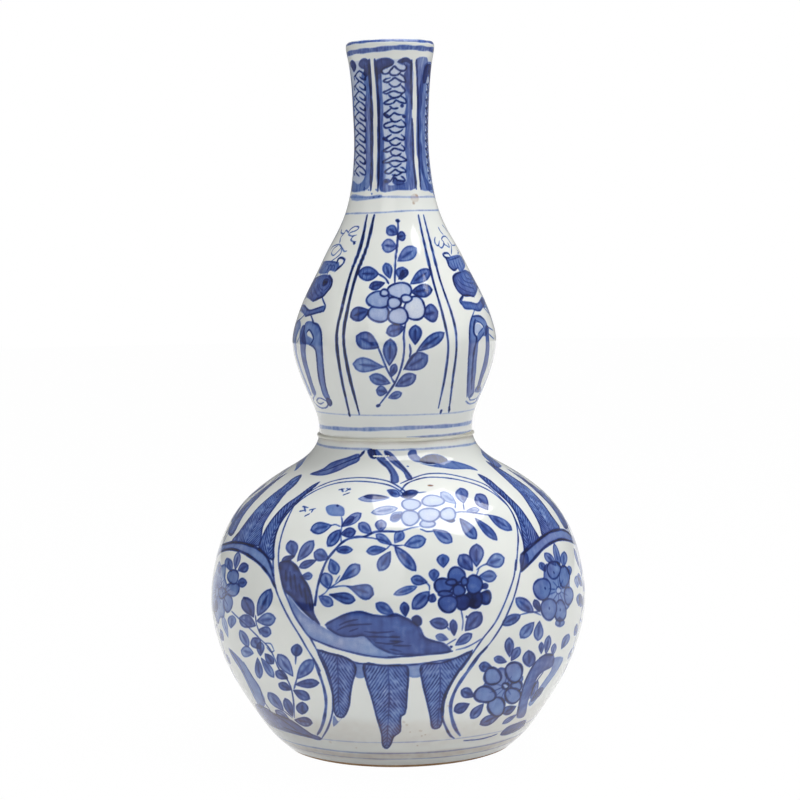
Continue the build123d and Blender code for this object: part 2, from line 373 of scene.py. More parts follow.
def shape_cover(path, view, soft):
    """How far a closed path covers the window, and the distance in mm to its edge."""
    rows, columns, turns, lengths, radii = view
    inside = np.zeros((len(rows), len(columns)), dtype=bool)
    nearest = np.full(inside.shape, 1e9, dtype=np.float32)
    for a, b in zip(path, np.roll(path, -1, axis=0)):
        x, y = (turns - a[0]) * radii, lengths - a[1]
        dx, dy = (b[0] - a[0]) * radii, b[1] - a[1]
        share = np.clip((x * dx + y * dy) / (dx * dx + dy * dy + 1e-9), 0, 1)
        np.minimum(nearest, (x - share * dx) ** 2 + (y - share * dy) ** 2, out=nearest)
        if dy != 0:
            crossing = (lengths > a[1]) != (lengths > b[1])
            inside ^= crossing & (x < dx * y / dy)
    edge = np.sqrt(nearest)
    signed = np.where(inside, edge, -edge)
    return soft_step(signed / soft + 0.5), edge


# Marks of the brush: only where the photograph shows them, or on every third of the way round too
ONCE = (0,)
THIRDS = (0, 120, -120)
PRESS_CHANGE = 0.14
LINE_MOTTLE = 0.12
WASH_MOTTLE = 0.06
RIM_WIDTH = 0.7


def unsteady(path, turn):
    """A path moved to another side of the vase, where a hand paints it a little differently."""
    path = path.copy()
    if turn:
        wave = 0.9 * np.sin(path[:, 1] * 0.11 + turn) + 0.5 * np.sin(path[:, 0] * 9 + 2 * turn)
        path[:, 1] += 0.7 * np.sin(path[:, 0] * 7 + 3 * turn) + 0.4 * np.sin(path[:, 1] * 0.17 + turn)
        path[:, 0] += math.radians(turn) + wave / 1.4 / radius_at(path[:, 1])
    return path


def brush_line(path, width=0.6, tone=0.8, ends=(0.5, 0.5), turns=ONCE, soft=0.35, layer=COBALT):
    """A line drawn along a path of turn and length, narrowed to a share of its width at its ends."""
    for turn in turns:
        moved = unsteady(path, turn)
        share = np.linspace(0, 1, len(moved))
        press = 1 + PRESS_CHANGE * np.sin(share * len(moved) * 0.9 + 5 * chance.random())
        near_end = np.minimum(1, ends[0] + share * 6) * np.minimum(1, ends[1] + (1 - share) * 6)
        half = width / 2 * press * near_end
        view = window(moved, width)
        if view is None:
            continue
        cover = line_cover(moved, half, view, soft)
        lay(layer, view, cover * tone * (1 + LINE_MOTTLE * MOTTLE[spot_of(view)]))


def brush_wash(path, tone=0.5, rim=0.2, streak=0.05, turns=ONCE, soft=0.45):
    """A closed shape filled with thinned cobalt, which gathers along its edge."""
    for turn in turns:
        moved = unsteady(path, turn)
        view = window(moved, 0.8)
        if view is None:
            continue
        cover, edge = shape_cover(moved, view, soft)
        spot = spot_of(view)
        wash = tone * (1 + WASH_MOTTLE * MOTTLE[spot] + streak * STREAK[spot])
        amount = wash + rim * np.exp(-edge / RIM_WIDTH)
        lay(COBALT, view, cover * np.clip(amount, 0, 1))


def placed(close_up, points):
    """Turn and length of places on an enlargement, or of places in mm round an angle and a height."""
    points = np.asarray(points, dtype=float)
    if len(close_up) == 3:
        left, top, scale = close_up
        return on_vase(points / scale + (left, top))
    angle, height = close_up
    lengths = climb(height) + points[:, 1]
    return np.stack([math.radians(angle) + points[:, 0] / radius_at(lengths), lengths], axis=-1)


def drawn(close_up, points, pieces=4, closed=False):
    """A smooth path on the vase through places on an enlargement."""
    return placed(close_up, curve_through(points, pieces, closed))


def ring(height, width, tone, wave=0.4, seed=0, soft=0.35, start=-180, end=180, layer=COBALT):
    """A line round the vase at about a height, as a brush held against the turning vase leaves."""
    turns = np.radians(np.linspace(start, end, max(8, int(end - start) // 4)))
    swing = np.sin(turns + seed) + 0.4 * np.sin(2 * turns + 2.3 * seed) + 0.2 * np.sin(5 * turns + seed)
    path = np.stack([turns, climb(height) + wave * swing], axis=-1)
    ends = (1, 1) if end - start >= 359 else (0.3, 0.3)
    brush_line(path, width, tone, ends=ends, soft=soft, layer=layer)


# Motifs, made from places on enlargements of the photograph: left, top and scale of each
WIDE_LEAF = 60
LEAF_FULLNESS = 0.66
LEAF_WASH = 0.54
LEAF_WASH_CHANGE = 0.26
LEAF_CORE = 1.9
HATCH_TONE = 0.68
SPINE_GAP = 0.35
PETAL_WOBBLE = 0.05
PETAL_LOBES = 7
LOBE_SHARE = 0.1


def leaf_outline(base, tip, wide, widest=0.6, bow=0.0):
    """The outline of a leaf from its base to its tip."""
    base, tip = np.array(base, dtype=float), np.array(tip, dtype=float)
    share = np.linspace(0, 1, 11)[:, None]
    across = np.array([base[1] - tip[1], tip[0] - base[0]])
    size = np.hypot(*across)
    across = across / size
    spine = base + (tip - base) * share + across * size * bow * np.sin(math.pi * share)
    half = wide / 2 * np.sin(math.pi * share ** (math.log(0.5) / math.log(widest))) ** LEAF_FULLNESS
    return np.vstack([spine + across * half, (spine - across * half)[-2:0:-1]]), spine


def leaves(close_up, rows, tone=0.5, turns=THIRDS, vein=0.55, rim=0.32):
    """Leaves given by base, tip, width, and where they differ their tone, widest share and bow."""
    for x0, y0, x1, y1, wide, *rest in rows:
        depth = rest[0] if rest else tone
        outline, spine = leaf_outline((x0, y0), (x1, y1), wide, *rest[1:3])
        path = placed(close_up, outline)
        wash = depth * (LEAF_WASH + LEAF_WASH_CHANGE * chance.random())
        brush_wash(path, wash, rim * min(1, depth * 1.4), turns=turns, streak=0.14)
        edge = np.vstack([path, path[:2]])
        brush_line(edge, 0.42, min(0.85, depth * 1.2), ends=(0.9, 0.9), turns=turns, soft=0.4)
        long_core = wide > WIDE_LEAF or len(close_up) == 2
        core = placed(close_up, spine[2:8] if long_core else spine[3:6])
        brush_line(core, LEAF_CORE, depth * 0.5, ends=(0.2, 0.4), turns=turns, soft=0.9)
        middle = placed(close_up, spine[2:9])
        brush_line(middle, 0.75, min(0.9, depth * 1.2) * vein, ends=(0.3, 0.5), turns=turns, soft=0.5)


def petals(close_up, rows, tone=0.3, line=0.8, width=0.5, turns=THIRDS):
    """Round petals given by middle and half sizes, each laid over those before."""
    around = np.linspace(0, TURN, 14, endpoint=False)
    for x, y, half_x, half_y, *rest in rows:
        depth = rest[0] if rest else tone
        wobble = 1 + PETAL_WOBBLE * np.sin(3 * around + 6 * chance.random())
        oval = np.stack([x + half_x * np.cos(around) * wobble,
                         y + half_y * np.sin(around) * wobble], axis=-1)
        path = drawn(close_up, oval, 2, closed=True)
        for turn in turns:
            lift(unsteady(path, turn))
        brush_wash(path, depth, 0.12, turns=turns)
        brush_line(np.vstack([path, path[:2]]), width, line, ends=(0.8, 0.8), turns=turns)


def stems(close_up, rows, width, tone, turns=THIRDS, ends=(0.6, 0.4)):
    """Lines, each through its own points."""
    for points in rows:
        brush_line(drawn(close_up, points), width, tone, ends=ends, turns=turns)


def washes(close_up, rows, tone, rim, turns=THIRDS, **more):
    """Closed shapes, each through its own points."""
    for points in rows:
        brush_wash(drawn(close_up, points, 3, closed=True), tone, rim, turns=turns, **more)


def dots(close_up, rows, width, tone=0.9, turns=THIRDS, layer=COBALT):
    """Short straight strokes given by their two ends."""
    for x0, y0, x1, y1 in rows:
        stroke = drawn(close_up, ((x0, y0), (x1, y1)))
        brush_line(stroke, width, tone, ends=(0.9, 0.5), turns=turns, layer=layer)


def hatched(close_up, outline, spine, tone, pitch=2.0, lean=1.4, turns=THIRDS, edge=0.9):
    """A long leaf with a dark outline, and short strokes slanting up and out from its spine."""
    path = drawn(close_up, outline, 3, closed=True)
    middle = drawn(close_up, spine)
    brush_wash(path, tone, 0.3, turns=turns, streak=0.12)
    for turn in turns:
        moved, line_path = unsteady(path, turn), unsteady(middle, turn)
        view = window(moved, 0.8)
        cover, _ = shape_cover(moved, view, 0.4)
        angles, lengths, radii = view[2:]
        order = np.argsort(line_path[:, 1])
        centre = np.interp(lengths[:, 0], line_path[order, 1], line_path[order, 0])[:, None]
        aside = np.abs(angles - centre) * radii
        mottle = MOTTLE[spot_of(view)]
        phase = (lengths - lean * aside) / pitch + 0.07 * mottle
        stripe = soft_step(np.cos(TURN * phase) * 0.9 + 0.2) * (aside > SPINE_GAP)
        lay(COBALT, view, cover * stripe * HATCH_TONE * np.clip(0.85 + 0.3 * mottle, 0, 1.2))
    brush_line(middle, 0.55, 0.6, turns=turns)
    brush_line(np.vstack([path, path[:1]]), 0.55, edge, ends=(1, 1), turns=turns)


def rosette(close_up, middle, size, tone, turns, rays=0):
    """The wash that a flower's petals lie on, and where asked for the fine rays from its middle."""
    centre = placed(close_up, (middle,))[0]
    ways = np.linspace(0, TURN, 36, endpoint=False)

    def out(way, far):
        return np.stack([centre[0] + far * np.cos(way) / radius_at(centre[1]),
                         centre[1] + far * np.sin(way)], axis=-1)

    edge = out(ways, size * (1 + LOBE_SHARE * np.sin(PETAL_LOBES * ways)))
    brush_wash(edge, tone, 0.5, turns=turns)
    for way in np.linspace(0, TURN, rays, endpoint=False):
        ray = out(way + np.zeros(2), size * np.array((0.16, 0.5 + 0.3 * chance.random())))
        brush_line(ray, 0.5, 0.75, turns=turns)


# The painting, band by band
RINGS = ((298.9, 1.3, 0.5, 0.35, 1.0), (295.4, 1.9, 0.5, 0.6, 0.4), (234.2, 0.9, 0.16, 0.5, 2.0),
    (228.3, 0.6, 0.24, 0.4, 0.0), (144.2, 0.6, 0.15, 0.3, 1.4), (138.4, 1.5, 0.27, 0.5, 0.6),
    (130.2, 0.9, 0.2, 0.4, 3.0), (13.4, 0.6, 0.14, 0.3, 0.0), (7.6, 0.9, 0.22, 0.3, 1.0),
    (4.7, 0.7, 0.2, 0.3, 2.0))
for height, width, tone, wave, seed in RINGS:
    ring(height, width, tone, wave, seed)
ring(135.1, 0.9, 0.22, 0.35, 2.5, start=8, end=172)
ring(133.2, 2.4, 0.22, 0.5, 2.2, soft=1.4, layer=STAIN_AND_SHADE)
# Brown bands low on the vase, darker towards the foot: partly the foot's own stain, partly painted shade
ring(5.5, 5.0, 0.34, 1.2, 0.7, soft=2.5, layer=STAIN_AND_SHADE)
ring(16.0, 14.0, 0.15, 2.0, 1.9, soft=6.0, layer=STAIN_AND_SHADE)

UPPER_CLOSE_UP = (280, 200, 6.272)
MIDDLE_OF_UPPER = 700
UPPER_PANEL_LINES = (((545, 95), (505, 290), (440, 470), (388, 680), (355, 840), (375, 1060),
    (436, 1350)), ((590, 95), (545, 290), (478, 470), (425, 680), (398, 850), (425, 1060), (497, 1345)),
    ((868, 95), (905, 270), (965, 520), (1028, 750), (1055, 900), (1040, 1080), (995, 1305)),
    ((900, 95), (945, 270), (1005, 500), (1095, 780), (1108, 920), (1085, 1120), (1060, 1330)))
for points in UPPER_PANEL_LINES:
    width, tone = (1.3, 1.0) if points[0][0] < MIDDLE_OF_UPPER else (1.0, 0.8)
    brush_line(drawn(UPPER_CLOSE_UP, points), width, tone, turns=THIRDS)

# Front panel of the lower bulb, as its four quarters show
PANEL_A = (265, 465, 11.615)
PANEL_B = (390, 465, 11.2)
PANEL_C = (265, 560, 11.615)
PANEL_D = (390, 560, 11.2)

GROUND_C = ((265, 400), (420, 600), (640, 760), (880, 880), (1150, 880), (1300, 1010), (1560, 1100),
    (1400, 1130), (1200, 1110), (1000, 1070), (800, 1015), (640, 955), (520, 895), (420, 765), (330, 600))
ROCK_C = ((165, 30), (250, 15), (340, 50), (405, 130), (470, 250), (525, 370), (560, 500), (570, 620),
    (640, 755), (540, 680), (420, 560), (330, 440), (265, 390), (215, 330), (180, 180))
MOUND_C = ((700, 750), (820, 680), (960, 620), (1100, 600), (1250, 635), (1400, 652), (1514, 627),
    (1607, 664), (1711, 716), (1784, 788), (1825, 881), (1929, 933), (2074, 964), (2167, 1058),
    (1970, 1089), (1711, 1110), (1500, 1100), (1400, 1065), (1300, 1000), (1230, 930), (1150, 880),
    (1040, 890), (880, 880), (770, 830))
washes(PANEL_C, (GROUND_C,), 0.25, 0.12)
washes(PANEL_C, (ROCK_C,), 0.68, 0.3)
washes(PANEL_C, (MOUND_C,), 0.53, 0.3, soft=0.9)
ROCK_STROKES_C = (((190, 22), (280, 12), (350, 60), (405, 140)), ((240, 120), (245, 250)),
    ((290, 140), (305, 340)), ((340, 170), (365, 370)), ((395, 280), (430, 430)),
    ((460, 330), (485, 510)), ((505, 430), (530, 580)), ((410, 190), (480, 270), (530, 400), (560, 560)),
    ((225, 350), (300, 420), (420, 560), (560, 700)))
MOUND_STROKES_C = (((700, 755), (820, 685), (960, 622), (1100, 600), (1250, 638), (1420, 655),
    (1568, 648)), ((860, 760), (960, 715), (1080, 690)),
    ((840, 815), (940, 770), (1100, 750), (1240, 745)), ((980, 830), (1080, 795)),
    ((1150, 830), (1300, 845), (1500, 830)), ((1180, 890), (1400, 895), (1568, 905)),
    ((1290, 960), (1450, 975), (1560, 960)),
    ((720, 790), (880, 880), (1040, 890), (1150, 880), (1300, 1010), (1450, 1080)))
MOUND_STROKES_D = (((-20, 625), (60, 605), (150, 640), (230, 680), (330, 760), (380, 860), (470, 905),
    (600, 935)), ((0, 860), (110, 862)), ((0, 908), (145, 916)), ((40, 960), (240, 962)),
    ((0, 1000), (130, 1026)))
stems(PANEL_C, ROCK_STROKES_C, 0.9, 0.8)
stems(PANEL_C, MOUND_STROKES_C, 0.6, 0.7)
stems(PANEL_D, MOUND_STROKES_D, 0.7, 0.7)
washes(PANEL_D, (((240, 655), (300, 618), (352, 655), (350, 725), (300, 740)),), 0.7, 0.3)

BRANCH_C = (((580, 520), (605, 340), (650, 170), (720, 0), (800, -105), (890, -200), (960, -243),
    (1060, -268), (1160, -275), (1270, -325), (1400, -335), (1560, -330)),)
STEMS_A = (((885, 900), (880, 800), (890, 715), (895, 640), (885, 595)),
    ((870, 712), (820, 690), (760, 700)),
    ((1140, 835), (1260, 850), (1380, 880), (1460, 925), (1560, 935)), ((1460, 925), (1410, 975)))
STEMS_B = (((-10, 742), (100, 745), (250, 700), (330, 690)), ((340, 715), (420, 745), (520, 730)),
    ((740, 530), (800, 522), (1000, 545), (1110, 562)), ((1090, 1105), (1030, 1130), (970, 1176)),
    ((300, 310), (400, 300)), ((830, 500), (820, 430)), ((730, 480), (735, 430)), ((40, 905), (160, 895)))
STEMS_C = (((740, 330), (800, 315), (900, 300), (980, 305)), ((735, 335), (700, 380), (640, 420)),
    ((750, 405), (820, 415)), ((820, 260), (870, 180)), ((760, 320), (870, 245)))
STEMS_D = (((800, 570), (818, 690), (808, 790)), ((640, 945), (740, 885)), ((640, 750), (670, 790)),
    ((400, 250), (440, 290), (440, 345)), ((740, 1008), (850, 980), (950, 930), (1025, 882)),
    ((920, 120), (900, 80)), ((970, 170), (1000, 90)))
stems(PANEL_C, BRANCH_C, 0.95, 0.7, ends=(1, 0.5))
for panel, rows in ((PANEL_A, STEMS_A), (PANEL_B, STEMS_B), (PANEL_C, STEMS_C), (PANEL_D, STEMS_D)):
    stems(panel, rows, 0.55, 0.55)

LEAVES_A = ((1440, 385, 1085, 390, 75, 0.25), (1430, 375, 1150, 362, 48, 0.75),
    (1420, 290, 1568, 355, 80, 0.55), (1540, 500, 1235, 552, 95, 0.25, 0.5),
    (1590, 540, 1460, 635, 90, 0.25), (890, 715, 1115, 560, 105, 0.4), (890, 710, 1030, 600, 70, 0.4),
    (770, 700, 530, 752, 130, 0.55), (870, 750, 730, 942, 120, 0.62, 0.55),
    (880, 800, 1050, 770, 110, 0.6), (1240, 795, 1090, 675, 115, 0.42), (1340, 775, 1350, 635, 125, 0.42),
    (1470, 925, 1290, 805, 90, 0.42), (1405, 975, 1180, 1003, 100, 0.55),
    (1455, 1005, 1325, 1225, 135, 0.52), (340, 1060, 290, 880, 135, 0.55),
    (375, 1115, 560, 880, 125, 0.5), (735, 1085, 570, 1015, 140, 0.52), (340, 1060, 195, 1112, 60, 0.7),
    (590, 1108, 400, 1185, 80, 0.6), (830, 985, 1015, 985, 85, 0.55, 0.5))
LEAVES_B = ((125, 350, 310, 300, 85, 0.75, 0.5), (740, 430, 565, 305, 95, 0.28),
    (825, 425, 790, 255, 135, 0.48), (1095, 500, 970, 325, 135, 0.55), (1100, 558, 1365, 728, 105, 0.45),
    (860, 512, 1000, 500, 60, 0.25), (785, 600, 965, 825, 120, 0.62), (955, 598, 1200, 840, 90, 0.52),
    (615, 610, 725, 620, 45, 0.8), (485, 725, 695, 862, 125, 0.48), (135, 565, 5, 615, 80, 0.28),
    (55, 870, 140, 740, 110, 0.42), (160, 900, 400, 830, 140, 0.5), (55, 915, 290, 1185, 120, 0.55, 0.55),
    (600, 1145, 590, 1000, 130, 0.52), (925, 1180, 780, 1010, 150, 0.58),
    (970, 1135, 970, 885, 155, 0.58), (1080, 1110, 1280, 1040, 155, 0.52))
LEAVES_C = ((425, 195, 548, 182, 80, 0.5), (760, -10, 830, 165, 125, 0.52),
    (860, 250, 1100, 60, 130, 0.5, 0.7), (740, 335, 690, 150, 145, 0.48),
    (950, 305, 1260, 400, 175, 0.55, 0.72), (750, 400, 1045, 470, 120, 0.6, 0.65),
    (625, 420, 785, 525, 115, 0.42), (1500, 640, 1290, 505, 120, 0.46))
LEAVES_D = ((1000, 185, 1195, 180, 125, 0.5), (490, 235, 495, 105, 110, 0.5),
    (415, 250, 235, 210, 105, 0.52), (300, 300, 45, 385, 80, 0.4, 0.5),
    (440, 355, 255, 545, 145, 0.64, 0.55), (175, 630, 155, 475, 95, 0.62),
    (650, 730, 450, 690, 120, 0.62, 0.45), (720, 845, 705, 670, 80, 0.58),
    (845, 790, 1020, 590, 160, 0.58), (735, 955, 915, 830, 95, 0.5), (650, 890, 515, 850, 75, 0.32),
    (485, 380, 460, 470, 90, 0.6), (1000, 390, 1135, 430, 150, 0.7), (1020, 310, 1100, 280, 60, 0.6))
for panel, rows in ((PANEL_A, LEAVES_A), (PANEL_B, LEAVES_B), (PANEL_C, LEAVES_C), (PANEL_D, LEAVES_D)):
    leaves(panel, rows)
BUD_A = ((705, 490), (760, 460), (850, 460), (915, 500), (915, 585), (860, 590), (740, 575))
washes(PANEL_A, (BUD_A,), 0.3, 0.2)
dots(PANEL_A, ((835, 462, 850, 478),), 0.8)
PEONY_B = ((480, 400, 125, 62, 0.12), (235, 440, 105, 62, 0.12), (225, 590, 100, 85, 0.12),
    (420, 655, 85, 45, 0.12), (650, 550, 88, 72, 0.12), (440, 555, 120, 75, 0.1))
petals(PANEL_B, PEONY_B, line=0.45, width=0.7)
PEONY_D = ((1065, 425, 65, 70, 0.7), (940, 440, 100, 95, 0.85), (815, 470, 85, 85, 0.72),
    (650, 490, 105, 95, 0.5), (600, 290, 105, 85, 0.48), (945, 275, 90, 105, 0.5),
    (745, 170, 95, 88, 0.45), (690, 250, 60, 35, 0.5), (835, 240, 38, 45, 0.5), (620, 375, 80, 30, 0.5),
    (772, 340, 68, 66, 0.48))
petals(PANEL_D, PEONY_D, line=0.85, width=0.7)
SPECKS_A = ((440, 480, 500, 495), (405, 535, 465, 525), (455, 480, 470, 540), (520, 520, 585, 505),
    (540, 545, 560, 510), (465, 590, 515, 565), (860, 285, 920, 275), (890, 275, 905, 310),
    (985, 270, 935, 305), (950, 270, 990, 285), (910, 345, 980, 320))
dots(PANEL_A, SPECKS_A, 0.55, 0.8)
dots(PANEL_D, ((680, 968, 692, 975), (858, 635, 868, 645)), 0.8)
dots(PANEL_B, ((435, 228, 480, 230),), 1.0, 0.9, turns=ONCE, layer=STAIN_AND_SHADE)
dots(PANEL_B, ((445, 228, 470, 230),), 0.8, 0.9, turns=ONCE)

# Double outline of the front panel, and the lines that run on from it beside the side panels
FRAME_A = (((630, 245), (750, 195), (900, 160), (1100, 145), (1300, 160), (1450, 195), (1570, 262),
    (1650, 325)), ((330, 480), (450, 380), (600, 290), (800, 215), (1000, 188), (1150, 190), (1300, 205),
    (1450, 237), (1568, 300), (1630, 370)))
FRAME_B = (((120, 205), (250, 150), (400, 102), (600, 95), (800, 130), (1000, 190), (1100, 240),
    (1190, 320), (1300, 430), (1400, 600), (1475, 800), (1505, 950), (1480, 1176)),
    ((120, 290), (180, 215), (270, 172), (400, 140), (600, 140), (800, 170), (1000, 230), (1150, 310),
     (1260, 400), (1350, 500), (1410, 640), (1435, 800), (1430, 950), (1412, 1176)))
FRAME_C = (((330, -620), (260, -480), (200, -320), (165, -170), (155, 0), (175, 150), (215, 340),
    (265, 460), (330, 620), (420, 770), (520, 900), (640, 957), (800, 1018), (1000, 1073), (1200, 1115),
    (1400, 1135), (1570, 1128)), ((630, -860), (480, -770), (350, -670), (230, -540), (130, -320),
    (95, -150), (92, 0), (100, 150), (118, 310), (180, 480), (290, 700), (400, 880), (480, 1020),
    (580, 1180), (640, 1290)), ((520, 900), (590, 1030), (650, 1160), (700, 1270)),
    ((600, 1040), (700, 1075), (900, 1122), (1010, 1182), (1200, 1215), (1400, 1225), (1568, 1218)))
FRAME_D = (((-20, 1088), (200, 1078), (400, 1062), (600, 1042), (700, 1022)),
    ((-20, 1182), (300, 1170), (500, 1140), (700, 1108), (850, 1060), (925, 1010)),
    ((1412, 0), (1392, 180), (1345, 330), (1280, 500), (1180, 700), (1040, 880), (950, 1010), (870, 1130),
     (800, 1232)), ((1475, 60), (1430, 280), (1380, 450), (1300, 640), (1250, 740), (1130, 920),
    (1060, 1000), (940, 1130), (870, 1232)))
for panel, rows in ((PANEL_A, FRAME_A), (PANEL_B, FRAME_B), (PANEL_C, FRAME_C), (PANEL_D, FRAME_D)):
    stems(panel, rows, 0.65, 0.72, ends=(0.8, 0.8))

# Shoulder, and the long leaves above the side panels; the back panel repeats the right one
RIGHT_AND_BACK = (0, 120)
SHOULDER_L = (230, 440, 9.224)
SHOULDER_R = (400, 440, 9.224)
BELOW = (300, 640, 7.84)
LEAF_1 = ((655, 320), (600, 340), (500, 420), (380, 512), (260, 620), (160, 740), (80, 850), (15, 940),
    (140, 955), (265, 972), (285, 900), (300, 800), (360, 690), (440, 580), (520, 480), (600, 410))
LEAF_2 = ((825, 385), (760, 418), (640, 508), (520, 590), (420, 690), (340, 800), (290, 910), (265, 985),
    (360, 1090), (400, 1100), (402, 1000), (420, 880), (470, 760), (560, 640), (650, 545), (740, 465))
LEAF_R1 = ((722, 316), (800, 350), (900, 430), (1000, 520), (1100, 620), (1180, 730), (1240, 830),
    (1285, 925), (1200, 965), (1150, 1010), (1140, 940), (1125, 850), (1080, 700), (1020, 600),
    (940, 520), (850, 440))
LEAF_R2 = ((798, 193), (900, 250), (1050, 345), (1180, 435), (1300, 560), (1400, 700), (1475, 825),
    (1390, 850), (1320, 885), (1290, 790), (1220, 650), (1130, 510), (1000, 380), (880, 270))
SPINE_1 = ((640, 335), (500, 460), (350, 620), (230, 790), (145, 945))
SPINE_2 = ((810, 395), (650, 530), (500, 680), (400, 850), (345, 1060))
SPINE_R1 = ((740, 330), (900, 470), (1040, 620), (1140, 780), (1190, 950))
SPINE_R2 = ((810, 200), (1000, 350), (1180, 520), (1300, 680), (1390, 840))
for panel, outline, spine, turns in ((SHOULDER_L, LEAF_1, SPINE_1, ONCE),
                                     (SHOULDER_L, LEAF_2, SPINE_2, ONCE),
                                     (SHOULDER_R, LEAF_R1, SPINE_R1, RIGHT_AND_BACK),
                                     (SHOULDER_R, LEAF_R2, SPINE_R2, RIGHT_AND_BACK)):
    hatched(panel, outline, spine, 0.36, turns=turns)

SHOULDER_LEAF = ((1190, 128), (1080, 160), (930, 208), (860, 260), (735, 312), (850, 326), (980, 292),
    (1090, 240), (1190, 190))
STEM_1 = ((1318, 85), (1350, 168), (1400, 222), (1452, 262), (1482, 320), (1488, 392), (1550, 392),
    (1556, 350), (1532, 290), (1480, 220), (1410, 145), (1355, 90))
STEM_2 = ((1420, 100), (1475, 108), (1560, 195), (1640, 285), (1685, 360), (1640, 368), (1600, 295),
    (1520, 232), (1450, 165))
washes(SHOULDER_L, (SHOULDER_LEAF, STEM_1, STEM_2), 0.42, 0.35)
washes(SHOULDER_L, (((1266, 95), (1325, 80), (1350, 165), (1300, 165)),), 0.8, 0.1)
stems(SHOULDER_L, (((1235, 105), (1190, 160)),), 1.2, 0.9)
stems(SHOULDER_L, (((1180, 160), (1050, 210), (900, 270), (750, 308)),
    ((1370, 180), (1440, 240), (1488, 320), (1492, 390)),
    ((1425, 105), (1500, 170), (1600, 260), (1682, 358))), 0.6, 0.75)
CURL = ((72, 132), (90, 98), (145, 92), (162, 140), (215, 190), (180, 205), (105, 180))
LENS = ((178, 188), (230, 145), (300, 130), (375, 142), (440, 185), (350, 216), (240, 218))
TAIL = ((185, 212), (300, 232), (430, 188), (560, 210), (660, 245), (720, 282), (640, 268), (500, 268),
    (400, 256), (280, 240))
washes(SHOULDER_R, (CURL, TAIL), 0.38, 0.25)
washes(SHOULDER_R, (LENS,), 0.85, 0.1)
dots(SHOULDER_R, ((68, 240, 78, 244),), 0.6, 0.8, turns=ONCE)

PENDANT_1 = ((140, 82), (250, 112), (360, 140), (420, 180), (438, 235), (412, 330), (392, 440),
    (385, 515), (340, 605), (290, 600), (268, 560), (258, 440), (228, 330), (195, 225))
PENDANT_2 = ((500, 188), (650, 202), (750, 202), (842, 210), (850, 290), (840, 400), (822, 580),
    (790, 602), (785, 720), (732, 762), (710, 822), (680, 852), (650, 830), (640, 740), (600, 600),
    (558, 440), (520, 320))
PENDANT_3 = ((950, 200), (1100, 182), (1200, 152), (1348, 88), (1300, 175), (1220, 290), (1160, 400),
    (1130, 500), (1118, 620), (1092, 690), (1042, 692), (1022, 600), (990, 460), (958, 320))
for outline, spine in ((PENDANT_1, ((290, 130), (300, 330), (300, 480), (318, 590))),
                       (PENDANT_2, ((690, 210), (700, 400), (692, 620), (680, 830))),
                       (PENDANT_3, ((1098, 190), (1100, 400), (1090, 560), (1075, 680)))):
    hatched(BELOW, outline, spine, 0.34, pitch=2.2, lean=-1.6)
washes(BELOW, (((432, 185), (512, 198), (505, 292), (440, 292)),
    ((838, 208), (955, 198), (955, 282), (850, 286)), ((265, 590), (300, 640), (330, 610), (262, 680))),
    0.28, 0.15)

# Tops of the side panels, and the lines that close their sides
SIDE_L1 = (200, 530, 10.814)
SIDE_L2 = (200, 630, 10.814)
SIDE_R1 = (440, 500, 10.453)
SIDE_R2 = (440, 620, 10.453)
ARCH_L = ((150, 300), (230, 165), (330, 135), (430, 135), (540, 165), (620, 200), (700, 262), (760, 370),
    (800, 560), (740, 480), (660, 385), (560, 300), (450, 237), (330, 207), (230, 232), (190, 275))
ARCH_R = ((850, 565), (960, 480), (1050, 400), (1150, 335), (1230, 310), (1310, 322), (1400, 400),
    (1440, 470), (1350, 425), (1270, 410), (1200, 430), (1100, 490), (1030, 560), (960, 640), (855, 745),
    (840, 640))
washes(SIDE_L1, (ARCH_L,), 0.32, 0.1, ONCE)
washes(SIDE_R1, (ARCH_R,), 0.32, 0.1, RIGHT_AND_BACK)
stems(SIDE_L1, (((230, 165), (330, 135), (430, 135), (540, 165), (620, 200), (700, 262), (760, 370),
    (790, 500)), ((180, 285), (230, 232), (330, 205), (450, 237), (560, 300), (660, 382), (740, 480),
    (800, 590), (825, 640))), 1.1, 0.9, ONCE)
stems(SIDE_R1, (((850, 570), (960, 480), (1050, 400), (1150, 335), (1230, 310), (1310, 322), (1400, 400)),
    ((850, 745), (960, 640), (1030, 560), (1100, 490), (1200, 430), (1270, 410), (1350, 425), (1430, 465))),
    1.1, 0.9, RIGHT_AND_BACK)
washes(SIDE_R1, (((840, 570), (900, 545), (930, 640), (860, 750)),), 0.5, 0.2, RIGHT_AND_BACK)
stems(SIDE_L2,
    (((1225, 310), (1290, 480), (1342, 640), (1362, 780), (1350, 920), (1312, 1060), (1268, 1135)),), 1.2,
    0.65, ends=(0.5, 0.4))
stems(SIDE_L2,
    (((1300, 260), (1372, 420), (1422, 600), (1438, 750), (1430, 900), (1382, 1060), (1312, 1180)),), 0.7,
    0.75)
stems(SIDE_R2, (((300, 395), (240, 470), (150, 600), (80, 720), (30, 850), (20, 1000), (60, 1120),
    (110, 1210), (150, 1240)),), 0.9, 0.8)
stems(SIDE_R2, (((490, 285), (400, 382), (320, 500), (230, 620), (150, 760), (112, 900), (130, 1050),
    (170, 1150), (212, 1212)),), 1.4, 0.6)
stems(SIDE_R2, (((250, 1262), (400, 1250), (520, 1222), (600, 1192)),), 0.6, 0.7)

